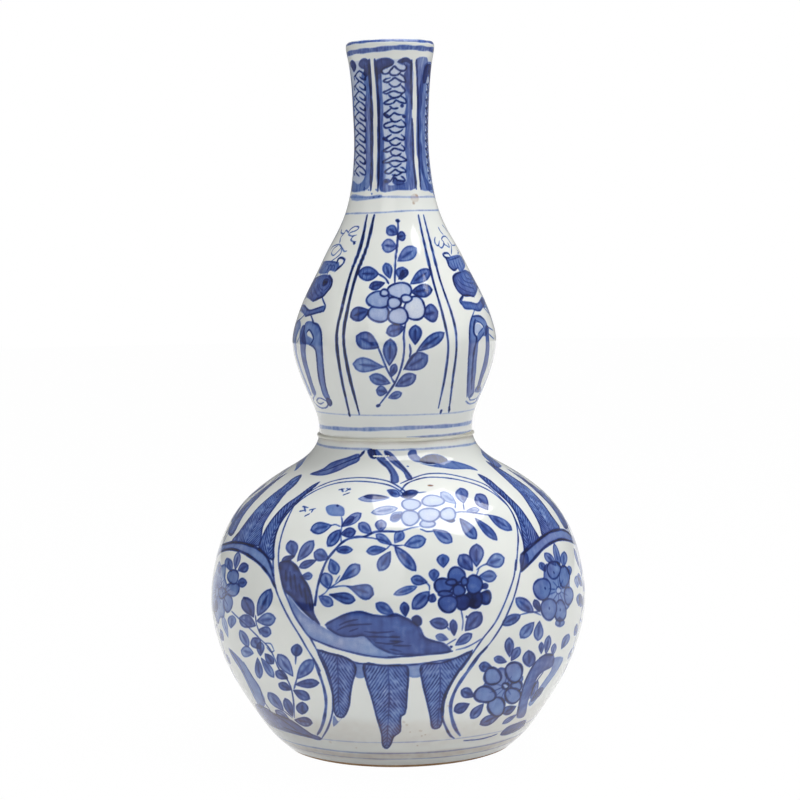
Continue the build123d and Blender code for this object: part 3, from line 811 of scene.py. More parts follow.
# Side panels
BRANCH_L = ((310, 200), (430, 310), (500, 400), (600, 560), (680, 700), (705, 800), (660, 850),
    (600, 760), (520, 600), (440, 440), (350, 300))
GROUND_L = ((600, 800), (700, 835), (800, 900), (950, 962), (1060, 1030), (1180, 1112), (1315, 1172),
    (1300, 1192), (1180, 1166), (1000, 1120), (850, 1070), (760, 1030), (640, 900))
washes(SIDE_L2, (BRANCH_L,), 0.34, 0.2, turns=ONCE)
washes(SIDE_L2, (GROUND_L,), 0.5, 0.25, turns=ONCE)
stems(SIDE_L2, (((470, 350), (560, 500), (640, 620), (692, 770), (760, 870)),
    ((310, 200), (400, 330), (500, 520), (600, 720))), 0.8, 0.6, ONCE)
stems(SIDE_L2, (((720, 850), (900, 980), (1050, 1090)),
    ((800, 905), (960, 965), (1120, 1070), (1220, 1140)), ((900, 1050), (1050, 1110), (1200, 1160))), 0.9,
    0.8, ONCE)
stems(SIDE_L1, (((340, 880), (400, 940), (500, 1030), (580, 1110), (650, 1180)),
    ((600, 925), (608, 1010), (650, 1130))), 0.6, 0.65, ONCE)
stems(SIDE_L2, (((650, 100), (740, 190), (800, 300), (850, 420), (930, 520), (980, 620), (1010, 760),
    (1020, 950)), ((1035, 275), (1030, 370)), ((900, 870), (1000, 950)), ((1045, 530), (1015, 640))), 0.7,
    0.65, ONCE)
rosette(SIDE_L1, (180, 670), 12.5, 0.24, ONCE, rays=26)
petals(SIDE_L1, ((300, 790, 48, 95), (350, 640, 76, 72), (355, 505, 62, 76), (235, 680, 40, 60)), 0.36,
    0.7, 0.6, ONCE)
stems(SIDE_L1, (((235, 670), (225, 520)), ((240, 670), (270, 450)), ((245, 690), (330, 640)),
    ((240, 700), (300, 820)), ((240, 690), (250, 850)), ((250, 680), (340, 560))), 0.45, 0.6, ONCE)
leaves(SIDE_L1, ((340, 445, 285, 305, 80, 0.5), (380, 425, 412, 240, 70, 0.5),
    (410, 435, 520, 385, 100, 0.6), (405, 570, 505, 570, 95, 0.6, 0.5), (212, 475, 203, 378, 38, 0.4),
    (330, 1060, 350, 925, 90, 0.42), (300, 1160, 240, 930, 50, 0.28)), turns=ONCE)
leaves(SIDE_L1, ((580, 940, 470, 730, 130, 0.72, 0.6), (625, 925, 765, 640, 135, 0.66, 0.55),
    (600, 1035, 425, 950, 135, 0.5), (615, 985, 815, 955, 135, 0.52, 0.6),
    (635, 1080, 765, 1118, 110, 0.5), (520, 1262, 430, 1085, 85, 0.42, 0.5)), turns=ONCE)
leaves(SIDE_L2, ((645, 205, 570, 90, 115, 0.55), (575, 250, 440, 225, 115, 0.4),
    (620, 305, 642, 525, 80, 0.5), (660, 305, 795, 515, 75, 0.5), (650, 280, 650, 130, 80, 0.6),
    (700, 260, 790, 365, 80, 0.62), (1002, 500, 840, 265, 120, 0.52), (945, 525, 815, 455, 90, 0.6),
    (985, 645, 850, 585, 80, 0.55), (1045, 530, 1222, 325, 130, 0.45), (1030, 592, 1285, 572, 90, 0.55),
    (1010, 655, 1185, 745, 95, 0.55), (1025, 975, 1215, 1005, 95, 0.66), (905, 875, 735, 680, 100, 0.5),
    (1000, 935, 920, 740, 85, 0.6), (965, 965, 815, 870, 60, 0.5), (1035, 285, 1050, 155, 115, 0.62, 0.5),
    (1100, 910, 1110, 780, 125, 0.74, 0.5)), turns=ONCE)
stems(SIDE_L2, (((705, 145), (760, 150), (800, 225)), ((720, 190), (770, 240), (800, 225))), 0.45, 0.6,
    ONCE)

rosette(SIDE_R1, (1225, 945), 11.5, 0.3, RIGHT_AND_BACK)
petals(SIDE_R1, ((1345, 1000, 48, 92), (1300, 800, 55, 112), (1190, 730, 70, 92), (1260, 1160, 60, 112),
    (1140, 1140, 82, 112), (1070, 930, 90, 112)), 0.38, 0.75, 0.7, RIGHT_AND_BACK)
petals(SIDE_R1, ((1240, 945, 26, 36),), 0.12, 0.7, 0.5, RIGHT_AND_BACK)
stems(SIDE_R1, (((1225, 905), (1180, 850)), ((1240, 900), (1230, 810)), ((1255, 905), (1290, 830)),
    ((1265, 930), (1330, 900)), ((1265, 960), (1340, 1000)), ((1255, 985), (1290, 1060)),
    ((1240, 990), (1240, 1090)), ((1225, 985), (1180, 1050)), ((1212, 960), (1140, 990)),
    ((1212, 935), (1140, 930))), 0.4, 0.55, RIGHT_AND_BACK)
dots(SIDE_R1,
    ((1098, 918, 1108, 932), (1190, 755, 1196, 768), (1144, 1130, 1148, 1142), (1258, 1145, 1262, 1156)),
    0.8, 0.8, RIGHT_AND_BACK)
leaves(SIDE_R1, ((1250, 695, 1195, 455, 60, 0.5, 0.5), (1215, 685, 1095, 555, 75, 0.52),
    (1290, 705, 1302, 540, 70, 0.46), (1360, 785, 1350, 690, 48, 0.45), (1105, 745, 1045, 655, 62, 0.5),
    (1440, 915, 1430, 795, 52, 0.36), (1455, 1105, 1462, 985, 62, 0.52),
    (1250, 1225, 1260, 1325, 95, 0.45)), turns=RIGHT_AND_BACK)
leaves(SIDE_R1, ((980, 1172, 795, 1028, 115, 0.6, 0.55), (1045, 1165, 990, 1045, 65, 0.7),
    (842, 1205, 650, 1302, 95, 0.6, 0.5)), turns=RIGHT_AND_BACK)
stems(SIDE_R1, (((842, 1200), (980, 1172), (1060, 1205)), ((980, 1172), (1040, 1165))), 0.5, 0.6,
    RIGHT_AND_BACK)
leaves(SIDE_R2, ((985, 25, 845, 185, 110, 0.5), (1042, 15, 1025, 215, 95, 0.5)), turns=RIGHT_AND_BACK)
leaves(SIDE_R2, ((1272, 302, 1350, 150, 65, 0.5), (1062, 350, 1060, 235, 50, 0.5),
    (1110, 355, 1140, 165, 65, 0.5), (1180, 370, 1200, 250, 50, 0.45), (955, 855, 1075, 705, 55, 0.55),
    (950, 850, 1020, 635, 55, 0.5)), turns=RIGHT_AND_BACK)
ROCK_R = ((1040, 400), (1110, 368), (1190, 370), (1180, 480), (1080, 540), (1020, 600), (980, 700),
    (920, 850), (880, 1012), (805, 1020), (830, 850), (870, 680), (930, 540), (980, 460))
ROCK_R_FAR = ((1190, 400), (1290, 395), (1235, 520), (1130, 665), (1030, 800), (945, 900), (925, 880),
    (1000, 760), (1100, 620), (1165, 520))
washes(SIDE_R2, (ROCK_R_FAR,), 0.3, 0.15, RIGHT_AND_BACK)
washes(SIDE_R2, (ROCK_R,), 0.48, 0.25, RIGHT_AND_BACK)
stems(SIDE_R2, (((1000, 440), (930, 560), (870, 700), (832, 860), (808, 1010)),
    ((1040, 400), (1110, 362), (1190, 365)), ((1080, 545), (1000, 660), (940, 820))), 0.8, 0.8,
    RIGHT_AND_BACK)
washes(SIDE_R2,
    (((630, 1202), (700, 1122), (800, 1080), (900, 1050), (872, 1112), (780, 1172), (700, 1202)),), 0.62,
    0.2, RIGHT_AND_BACK)
leaves(SIDE_R2, ((730, 385, 722, 188, 90, 0.64), (748, 425, 832, 288, 82, 0.55),
    (695, 440, 568, 398, 72, 0.5), (545, 505, 412, 480, 100, 0.64), (352, 800, 225, 735, 105, 0.7),
    (305, 880, 150, 955, 105, 0.64), (452, 880, 325, 1030, 92, 0.64), (632, 990, 420, 1092, 92, 0.74),
    (792, 905, 655, 975, 85, 0.78), (802, 990, 655, 1085, 42, 0.5), (940, 490, 925, 320, 130, 0.62, 0.5)),
    turns=RIGHT_AND_BACK)
rosette(SIDE_R2, (660, 700), 9.5, 0.32, RIGHT_AND_BACK)
petals(SIDE_R2, ((800, 690, 58, 52), (760, 790, 82, 80), (775, 545, 88, 105), (590, 905, 88, 100),
    (470, 780, 112, 82), (550, 590, 88, 88), (685, 690, 34, 30, 0.15)), 0.34, 0.85, 0.95, RIGHT_AND_BACK)
stems(SIDE_R2, (((650, 690), (560, 660)), ((650, 705), (520, 760)), ((665, 720), (560, 820)),
    ((680, 725), (640, 820)), ((700, 720), (740, 780)), ((715, 700), (800, 720)),
    ((715, 685), (790, 660)), ((700, 665), (750, 590)), ((680, 660), (700, 580))), 0.4, 0.55,
    RIGHT_AND_BACK)

# The halves of the side panels that the photograph doesn't show, in mm round an angle and a height
FAR_STEMS = (((-1, -27), (-3, -14), (0, -2), (4, 8), (3, 16)), ((-1, -6), (5, -8), (9, -4)),
    ((-2, -18), (3, -20), (7, -17)))
FAR_LEAVES = ((3, 15, 1, 24, 5, 0.55), (4, 12, 10, 17, 4.6, 0.5), (3, 8, -4, 13, 4.6, 0.5),
    (4, 6, 12, 7, 4.8, 0.55), (1, 0, -6, 4, 4.6, 0.5), (9, -4, 15, -1, 4.8, 0.55),
    (6, -7, 11, -12, 4.6, 0.5), (0, -3, 4, 3, 3.4, 0.6), (-3, -12, -9, -8, 4.4, 0.5),
    (7, -17, 13, -15, 4.6, 0.5), (3, -20, 6, -26, 4.2, 0.55), (-1, -22, -7, -20, 4.2, 0.5),
    (-1, -26, 2, -33, 4.0, 0.55))
FAR_LEAF = ((-6, 0), (-5, 8), (-3.5, 18), (-1, 27), (1, 35), (2.6, 29), (4, 19), (5, 9), (5, 1), (0, -1))
FAR_SPINE = ((-0.5, 0), (0, 15), (0.6, 28), (1, 34))
FAR_ANGLE = 74.5
FAR_HEIGHT = 62
FAR_LEAF_HEIGHT = 95


def sided(points, side, highest=math.inf):
    """The points up to a height, mirrored for the left side."""
    return [(side * x, y) for x, y in points if y <= highest]


for side, highest, turns in ((1, math.inf, RIGHT_AND_BACK), (-1, 1, ONCE)):
    spray = (side * FAR_ANGLE, FAR_HEIGHT)
    stems(spray, [sided(points, side, highest) for points in FAR_STEMS], 0.6, 0.65, turns)
    leaves(spray,
        [(side * x0, y0, side * x1, *rest) for x0, y0, x1, *rest in FAR_LEAVES if y0 <= highest],
        turns=turns)
    leaf = ((FAR_ANGLE + 2) * side + 2, FAR_LEAF_HEIGHT)
    hatched(leaf, sided(FAR_LEAF, side), sided(FAR_SPINE, side), 0.3, turns=turns, edge=0.7)

# Upper bulb: a flower spray in each panel
UPPER_STEMS = (((740, 122), (738, 250), (724, 380), (720, 520)),
    ((788, 770), (776, 850), (780, 920), (766, 1030), (730, 1130), (680, 1210), (615, 1295)),
    ((620, 465), (660, 490), (682, 525)), ((615, 925), (640, 985), (670, 1060), (702, 1120)),
    ((862, 950), (812, 1010), (775, 1065)), ((700, 1120), (720, 1150)),
    ((812, 905), (820, 950), (812, 985)))
UPPER_LEAVES = ((735, 215, 672, 172, 68, 0.5), (735, 232, 785, 222, 58, 0.62),
    (735, 295, 640, 280, 85, 0.45), (740, 382, 855, 300, 84, 0.42), (618, 462, 490, 462, 88, 0.6, 0.55),
    (690, 490, 662, 395, 58, 0.5), (745, 495, 800, 440, 40, 0.5), (760, 500, 770, 420, 78, 0.5),
    (820, 525, 944, 438, 74, 0.58), (822, 578, 955, 562, 82, 0.66), (655, 520, 560, 548, 52, 0.62),
    (560, 692, 442, 732, 86, 0.72), (895, 722, 990, 700, 112, 0.68), (782, 798, 668, 832, 76, 0.55),
    (848, 905, 850, 785, 78, 0.6), (618, 925, 478, 852, 106, 0.58, 0.6), (686, 1038, 692, 872, 84, 0.62),
    (655, 1048, 458, 1028, 90, 0.42, 0.68), (860, 948, 1030, 832, 70, 0.58),
    (782, 1062, 925, 975, 104, 0.5, 0.6), (690, 1150, 562, 1108, 68, 0.5),
    (700, 1108, 722, 1030, 44, 0.5), (725, 1168, 852, 1100, 74, 0.48), (672, 1205, 605, 1192, 62, 0.52),
    (680, 1242, 762, 1212, 44, 0.45))
UPPER_PETALS = ((845, 680, 66, 74, 0.07), (620, 710, 66, 55, 0.22), (618, 625, 74, 52, 0.22),
    (752, 568, 76, 50, 0.13), (742, 728, 62, 54, 0.13), (792, 618, 34, 24, 0.08),
    (655, 582, 26, 22, 0.12), (716, 645, 42, 36, 0.13))
stems(UPPER_CLOSE_UP, UPPER_STEMS, 0.75, 0.75)
dots(UPPER_CLOSE_UP, ((734, 128, 746, 134), (612, 1292, 626, 1286)), 1.3, 0.85)
leaves(UPPER_CLOSE_UP, UPPER_LEAVES, vein=0.75, rim=0.4)
petals(UPPER_CLOSE_UP, UPPER_PETALS, line=0.8, width=0.75)
dots(UPPER_CLOSE_UP, ((432, 1340, 438, 1355), (1012, 1322, 1008, 1338), (1062, 1298, 1062, 1325)), 1.1,
    0.9)

# Upper bulb: a ribboned jar on a tall stand between the panels
JAR_L1 = (285, 225, 19.6)
JAR_L2 = (285, 290, 19.6)
JAR_L3 = (285, 340, 14.2545)
JAR_R1 = (420, 225, 19.6)
JAR_R2 = (420, 290, 19.6)
JAR_R3 = (395, 340, 14.2545)
LEFT_JARS = (0, -120)
COLLAR_L = ((760, 720), (860, 708), (1020, 725), (1060, 800), (970, 905), (880, 890), (830, 940),
    (690, 950), (655, 930), (700, 820))
JAR_BODY_L = ((660, 1000), (760, 972), (850, 985), (908, 1040), (920, 1120), (888, 1220), (820, 1310),
    (730, 1400), (640, 1440), (540, 1495), (480, 1450), (420, 1400), (430, 1300), (500, 1150),
    (580, 1050))
COLLAR_R = ((520, 660), (640, 605), (770, 590), (830, 640), (885, 770), (870, 850), (800, 912),
    (745, 845), (680, 885), (615, 850), (558, 790))
JAR_BODY_R = ((648, 1030), (700, 960), (800, 915), (880, 880), (970, 925), (1045, 1010), (1105, 1110),
    (1132, 1220), (1110, 1320), (1062, 1400), (950, 1382), (850, 1375), (760, 1300), (700, 1210),
    (665, 1120))
for panel, collar, body, turns in ((JAR_L1, COLLAR_L, JAR_BODY_L, LEFT_JARS),
                                   (JAR_R1, COLLAR_R, JAR_BODY_R, ONCE)):
    washes(panel, (collar,), 0.38, 0.2, turns)
    washes(panel, (body,), 0.46, 0.35, turns)
STAND_L = ((400, 640), (460, 610), (540, 620), (620, 680), (680, 760), (712, 880), (722, 1100),
    (742, 1400), (755, 1568), (770, 1700), (820, 1980), (880, 2120), (820, 2160), (740, 2060),
    (690, 1900), (650, 1750), (630, 1568), (612, 1320), (590, 1180), (540, 1110), (480, 1080),
    (420, 1060), (340, 1040), (320, 950), (340, 850), (370, 750))
STAND_R = ((1040, 510), (1200, 515), (1290, 600), (1330, 750), (1300, 900), (1240, 900), (1150, 1010),
    (1130, 1200), (1110, 1400), (1100, 1600), (1075, 1800), (1060, 2010), (1010, 2100), (950, 2120),
    (940, 1900), (950, 1568), (970, 1300), (978, 800), (1000, 600))
washes(JAR_L2, (STAND_L,), 0.36, 0.25, LEFT_JARS)
washes(JAR_R2, (STAND_R,), 0.34, 0.25, ONCE)
HOLE_L = ((430, 850), (470, 780), (510, 810), (545, 900), (548, 960), (500, 930), (445, 900))
HOLE_R = ((1080, 700), (1110, 640), (1180, 650), (1235, 735), (1170, 820), (1110, 900), (1075, 850))
for panel, hole, turns in ((JAR_L2, HOLE_L, LEFT_JARS), (JAR_R2, HOLE_R, ONCE)):
    for turn in turns:
        lift(unsteady(drawn(panel, hole, 3, closed=True), turn))
washes(JAR_R2, (((1080, 720), (1120, 660), (1180, 680), (1220, 740), (1140, 840), (1090, 850)),), 0.12,
    0.05, ONCE)
PLINTH_L = ((350, 285), (400, 305), (465, 395), (600, 365), (755, 305), (788, 335), (745, 425),
    (600, 455), (480, 485), (400, 515), (350, 450), (300, 400), (325, 330))
PLINTH_R = ((850, 105), (800, 205), (830, 290), (880, 358), (1020, 372), (1170, 402), (1230, 335),
    (1272, 250), (1262, 180), (1222, 135), (1162, 230), (1130, 268), (1000, 245), (830, 222), (860, 130))
washes(JAR_L2, (PLINTH_L,), 0.4, 0.2, LEFT_JARS)
washes(JAR_R2, (PLINTH_R,), 0.42, 0.2, ONCE)
stems(JAR_L1, (((1230, 150), (1290, 70), (1390, 22), (1445, 48), (1390, 105), (1290, 140), (1240, 180),
    (1310, 215), (1400, 195)), ((1350, 200), (1290, 285), (1345, 330), (1390, 320)),
    ((1100, 90), (1095, 150), (1150, 165), (1190, 100), (1245, 150)),
    ((1135, 180), (1085, 250), (1068, 350)), ((880, 500), (930, 420), (1060, 378), (1100, 430),
    (1010, 540), (945, 595), (905, 560), (950, 460), (1040, 395)),
    ((1065, 380), (1115, 450), (1160, 515), (1205, 510)),
    ((1110, 450), (1085, 560), (1000, 640), (910, 700))), 0.4, 0.75, LEFT_JARS)
stems(JAR_L1, (((1010, 745), (1050, 655), (1110, 640), (1162, 680), (1140, 750), (1060, 830), (975, 912)),
    ((905, 1040), (920, 1120), (888, 1220), (820, 1310), (735, 1400), (640, 1445), (545, 1495)),
    ((855, 985), (910, 1045)), ((1345, 322), (1360, 372))), 0.9, 0.95, LEFT_JARS)
stems(JAR_L1, (((745, 722), (860, 708), (1010, 735)), ((780, 830), (830, 760), (845, 820), (825, 900)),
    ((850, 860), (880, 780), (905, 800), (890, 880)), ((920, 860), (940, 785), (965, 800), (955, 880)),
    ((1035, 735), (1055, 750)), ((700, 830), (760, 740)), ((700, 940), (735, 860)),
    ((680, 990), (700, 935)), ((820, 970), (850, 905)),
    ((730, 1120), (770, 1062), (840, 1060), (875, 1120), (850, 1200), (760, 1290)),
    ((660, 1060), (630, 1180), (680, 1300), (740, 1360)),
    ((600, 1080), (560, 1200), (600, 1330), (660, 1400)), ((660, 1150), (680, 1230), (740, 1280)),
    ((540, 1140), (500, 1280), (540, 1400))), 0.4, 0.6, LEFT_JARS)
dots(JAR_L1, ((770, 1110, 810, 1090), (760, 1150, 820, 1130)), 2.4, 0.7, LEFT_JARS)
stems(JAR_L2, (((722, 140), (752, 220), (790, 320), (755, 425)),
    ((365, 290), (465, 395), (600, 365), (750, 318)), ((390, 520), (480, 488), (600, 455), (742, 415)),
    ((500, 490), (530, 560), (545, 640)), ((375, 490), (300, 570), (230, 620)),
    ((280, 300), (330, 250), (420, 130))), 0.55, 0.85, LEFT_JARS)
stems(JAR_L2, (((545, 590), (560, 640), (640, 680), (690, 770), (712, 880), (722, 1100), (742, 1400),
    (760, 1620), (800, 1900), (850, 2060)),
    ((480, 1075), (550, 1110), (600, 1190), (622, 1350), (640, 1568), (680, 1800), (740, 2040)),
    ((425, 830), (470, 780), (525, 850), (555, 960), (500, 1060))), 0.65, 0.9, LEFT_JARS)
LEGS_L = ((390, 690), (380, 800), (400, 950), (412, 1050), (402, 1200), (425, 1400), (475, 1600),
    (545, 1850), (605, 2040), (560, 2060), (475, 1850), (395, 1600), (338, 1400), (306, 1200),
    (298, 1050), (288, 950), (308, 800), (340, 700))
FAR_LEG_L = ((285, 590), (205, 660), (165, 800), (158, 950), (170, 1100), (212, 1300), (288, 1560),
    (395, 1850), (480, 2060), (515, 2060), (435, 1850), (325, 1560), (250, 1300), (225, 1100), (220, 960),
    (270, 800), (310, 700))
washes(JAR_L2, (LEGS_L,), 0.5, 0.25, LEFT_JARS)
washes(JAR_L2, (FAR_LEG_L,), 0.28, 0.25, LEFT_JARS)
stems(JAR_L2, (((262, 740), (230, 860), (215, 1000)), ((300, 730), (285, 900), (230, 1040))), 0.45, 0.5,
    LEFT_JARS)
stems(JAR_L3, (((430, 780), (400, 850), (440, 920), (520, 970), (590, 960), (612, 900), (550, 850),
    (480, 830), (450, 870), (500, 912), (552, 890)), ((600, 830), (655, 860), (662, 920), (635, 945))),
    0.5, 0.7, LEFT_JARS)
washes(JAR_L3, (((590, 820), (650, 850), (668, 910), (630, 940), (590, 890)),), 0.6, 0.2, LEFT_JARS)

stems(JAR_R1, (((360, 40), (400, 120), (460, 190)), ((440, 0), (490, 60), (540, 130)),
    ((300, 235), (288, 300), (310, 375), (360, 402), (382, 310)),
    ((370, 400), (420, 448), (452, 420), (472, 350), (425, 275), (455, 225), (500, 222), (560, 290),
     (605, 360), (640, 400), (695, 390)), ((460, 370), (520, 402), (575, 435), (545, 345)),
    ((612, 400), (620, 480), (615, 575)), ((720, 480), (752, 530), (740, 565))), 0.4, 0.75, ONCE)
stems(JAR_R1, (((575, 640), (510, 635), (455, 580), (480, 552), (550, 552), (592, 600)),
    ((455, 585), (550, 710), (562, 790), (670, 885), (735, 845)),
    ((800, 920), (700, 960), (650, 1030), (668, 1120), (700, 1210), (760, 1300), (850, 1375), (950, 1382),
     (1070, 1405)), ((850, 1375), (782, 1480), (820, 1560))), 0.75, 0.92, ONCE)
stems(JAR_R1, (((540, 690), (640, 670), (800, 610)), ((600, 720), (660, 840)), ((650, 700), (700, 830)),
    ((700, 690), (760, 850)), ((745, 670), (800, 840)), ((790, 650), (850, 810)),
    ((830, 660), (872, 780)), ((745, 850), (790, 925)),
    ((740, 1060), (820, 1150), (950, 1210), (1060, 1240)),
    ((800, 980), (860, 1080), (960, 1130), (1090, 1150)), ((860, 950), (920, 1040), (1060, 1080)),
    ((900, 920), (970, 1000), (1040, 1030)), ((700, 1120), (790, 1220), (920, 1300), (1080, 1330)),
    ((950, 930), (1020, 990))), 0.4, 0.55, ONCE)
stems(JAR_R2, (((782, 210), (832, 300), (880, 360), (1020, 375), (1172, 405), (1230, 335), (1272, 250),
    (1225, 140)), ((830, 222), (1000, 242), (1130, 265), (1215, 140)),
    ((1072, 385), (1050, 450), (1030, 500)), ((1150, 10), (1215, 100), (1270, 200)),
    ((1240, 330), (1320, 420), (1405, 540), (1465, 720)),
    ((1100, 600), (1200, 650), (1262, 740), (1285, 900)), ((1260, 830), (1185, 955), (1120, 1020)),
    ((1240, 740), (1130, 870)), ((1330, 720), (1440, 790)), ((1350, 860), (1455, 960))), 0.45, 0.65, ONCE)
stems(JAR_R2, (((1030, 500), (990, 620), (972, 800), (968, 1100), (950, 1400), (938, 1700), (930, 1900),
    (922, 2100)), ((1035, 512), (1180, 512), (1260, 580))), 0.65, 0.85, ONCE)
stems(JAR_R2, (((1085, 580), (1058, 700), (1062, 850), (1110, 930), (1105, 1010), (1065, 1180),
    (1040, 1400), (1020, 1700), (1015, 1950)),), 1.1, 0.75, ONCE)
LEGS_R = ((1292, 700), (1288, 900), (1292, 1100), (1270, 1300), (1228, 1500), (1160, 1750), (1118, 1950),
    (1150, 1965), (1222, 1750), (1312, 1500), (1350, 1300), (1366, 1100), (1352, 900), (1340, 700))
FAR_LEG_R = ((-6, 16), (-2, 17), (3, 13), (5.2, 6), (5.2, -2), (3.5, -12), (0, -22), (-3, -29), (-5, -29),
    (-2.5, -21), (0.5, -12), (2.3, -3), (2.3, 5), (0, 10), (-3, 13), (-6, 13))
JAR_CAP = ((-1, 5.2), (1, 4.4), (2.4, 1.8), (2.4, -1.8), (1, -4.4), (-1, -5.2))
washes(JAR_R2, (LEGS_R,), 0.5, 0.25, ONCE)
FAR_LEG_PLACE = (80, 175)
CAP_PLACE_R = (83.5, 198.2)
CAP_PLACE_L = (-83.5, 198.2)
washes(FAR_LEG_PLACE, (FAR_LEG_R,), 0.26, 0.3, ONCE)
washes(CAP_PLACE_R, (JAR_CAP,), 0.45, 0.3, ONCE)
washes(CAP_PLACE_L, ([(-x, y) for x, y in JAR_CAP],), 0.45, 0.3, LEFT_JARS)
stems(JAR_R3, (((1200, 650), (1222, 700), (1200, 790), (1130, 850), (1065, 850), (1075, 800),
    (1130, 740)), ((1010, 870), (1060, 910), (1140, 890), (1200, 830), (1240, 740))), 0.5, 0.6, ONCE)
washes(JAR_R3, (((1170, 660), (1225, 680), (1210, 740), (1140, 740)),), 0.45, 0.1, ONCE)

# Neck: upright bands with a braid down each; the front band repeats on the sides that don't show
NECK_VIEW = (340, 30, 15.68)
NECK_TURNS = (0, 122, 181.5, -119.5)
FILL_FRONT = ((545, 480), (700, 440), (790, 470), (830, 512), (760, 590), (690, 620), (650, 660),
    (655, 800), (660, 960), (672, 1140), (680, 1300), (672, 1500), (690, 1700), (690, 1900), (700, 2060),
    (685, 2230), (715, 2400), (800, 2440), (880, 2420), (1040, 2380), (1030, 2200), (1048, 2030),
    (1020, 1880), (1012, 1700), (1030, 1500), (1010, 1340), (1040, 1150), (1012, 950), (1020, 800),
    (1000, 700), (1040, 640), (1040, 560), (960, 540), (900, 500), (980, 450), (1060, 440), (1130, 500),
    (1118, 900), (1130, 1300), (1140, 1700), (1155, 2100), (1192, 2480), (900, 2510), (640, 2530),
    (602, 2300), (600, 1568), (578, 1100), (545, 700))
FILL_LEFT = ((380, 560), (440, 540), (455, 700), (460, 1000), (485, 1400), (488, 1800), (480, 2300),
    (440, 2480), (340, 2520), (180, 2530), (195, 2360), (280, 2420), (370, 2340), (405, 2130),
    (400, 1850), (390, 1650), (402, 1480), (380, 1310), (395, 1130), (400, 950), (380, 830), (330, 720),
    (370, 640))
FILL_RIGHT = ((1195, 455), (1360, 430), (1380, 520), (1340, 610), (1318, 760), (1300, 1000), (1290, 1150),
    (1265, 1300), (1280, 1500), (1262, 1700), (1290, 1850), (1305, 2100), (1340, 2300), (1420, 2430),
    (1455, 2500), (1272, 2505), (1250, 2300), (1232, 1900), (1222, 1568), (1220, 1000), (1205, 700))
HOOK_FRONT = ((560, 500), (640, 450), (720, 435), (800, 452), (850, 500), (820, 555), (760, 575),
    (700, 592), (660, 640), (600, 700), (560, 640))
HOOK_LEFT = ((290, 520), (340, 455), (400, 448), (452, 490), (468, 580), (440, 700), (400, 740),
    (362, 690), (380, 620), (330, 600), (292, 560))
GROUND_FRONT = ((560, 500), (840, 460), (1120, 480), (1125, 1300), (1150, 2000), (1190, 2480),
    (900, 2500), (600, 2520), (600, 1600), (580, 1000))
GROUND_LEFT = ((150, 520), (280, 480), (450, 480), (460, 1000), (490, 1500), (490, 2000), (480, 2480),
    (180, 2530), (215, 2200), (225, 1700), (205, 1300), (180, 800))
washes(NECK_VIEW, (GROUND_FRONT,), 0.09, 0, NECK_TURNS)
washes(NECK_VIEW, (GROUND_LEFT,), 0.09, 0, ONCE)
washes(NECK_VIEW, (FILL_FRONT,), 0.38, 0.1, NECK_TURNS, streak=0.16)
washes(NECK_VIEW, (FILL_LEFT,), 0.34, 0.1, ONCE, streak=0.16)
washes(NECK_VIEW, (FILL_RIGHT,), 0.34, 0.1, ONCE, streak=0.16)
washes(NECK_VIEW, (((1040, 560), (1110, 560), (1115, 1000), (1050, 960)),
    ((560, 600), (640, 640), (640, 760), (570, 760)),
    ((640, 1900), (690, 1900), (700, 2400), (640, 2480))), 0.3, 0.05, NECK_TURNS, soft=1.2)
washes(NECK_VIEW, (HOOK_FRONT,), 0.5, 0.3, NECK_TURNS)
washes(NECK_VIEW,
    (((900, 500), (980, 442), (1060, 435), (1120, 490), (1105, 530), (1040, 500), (960, 520)),), 0.6, 0.3,
    NECK_TURNS)
washes(NECK_VIEW, (HOOK_LEFT, ((150, 520), (185, 475), (235, 515), (250, 590), (215, 660), (180, 600))),
    0.62, 0.3, ONCE)
washes(NECK_VIEW, (((830, 2400), (860, 2350), (900, 2360), (1010, 2370), (1000, 2410), (900, 2430)),
    ((690, 2370), (740, 2330), (790, 2360), (740, 2420))), 0.45, 0.2, NECK_TURNS)
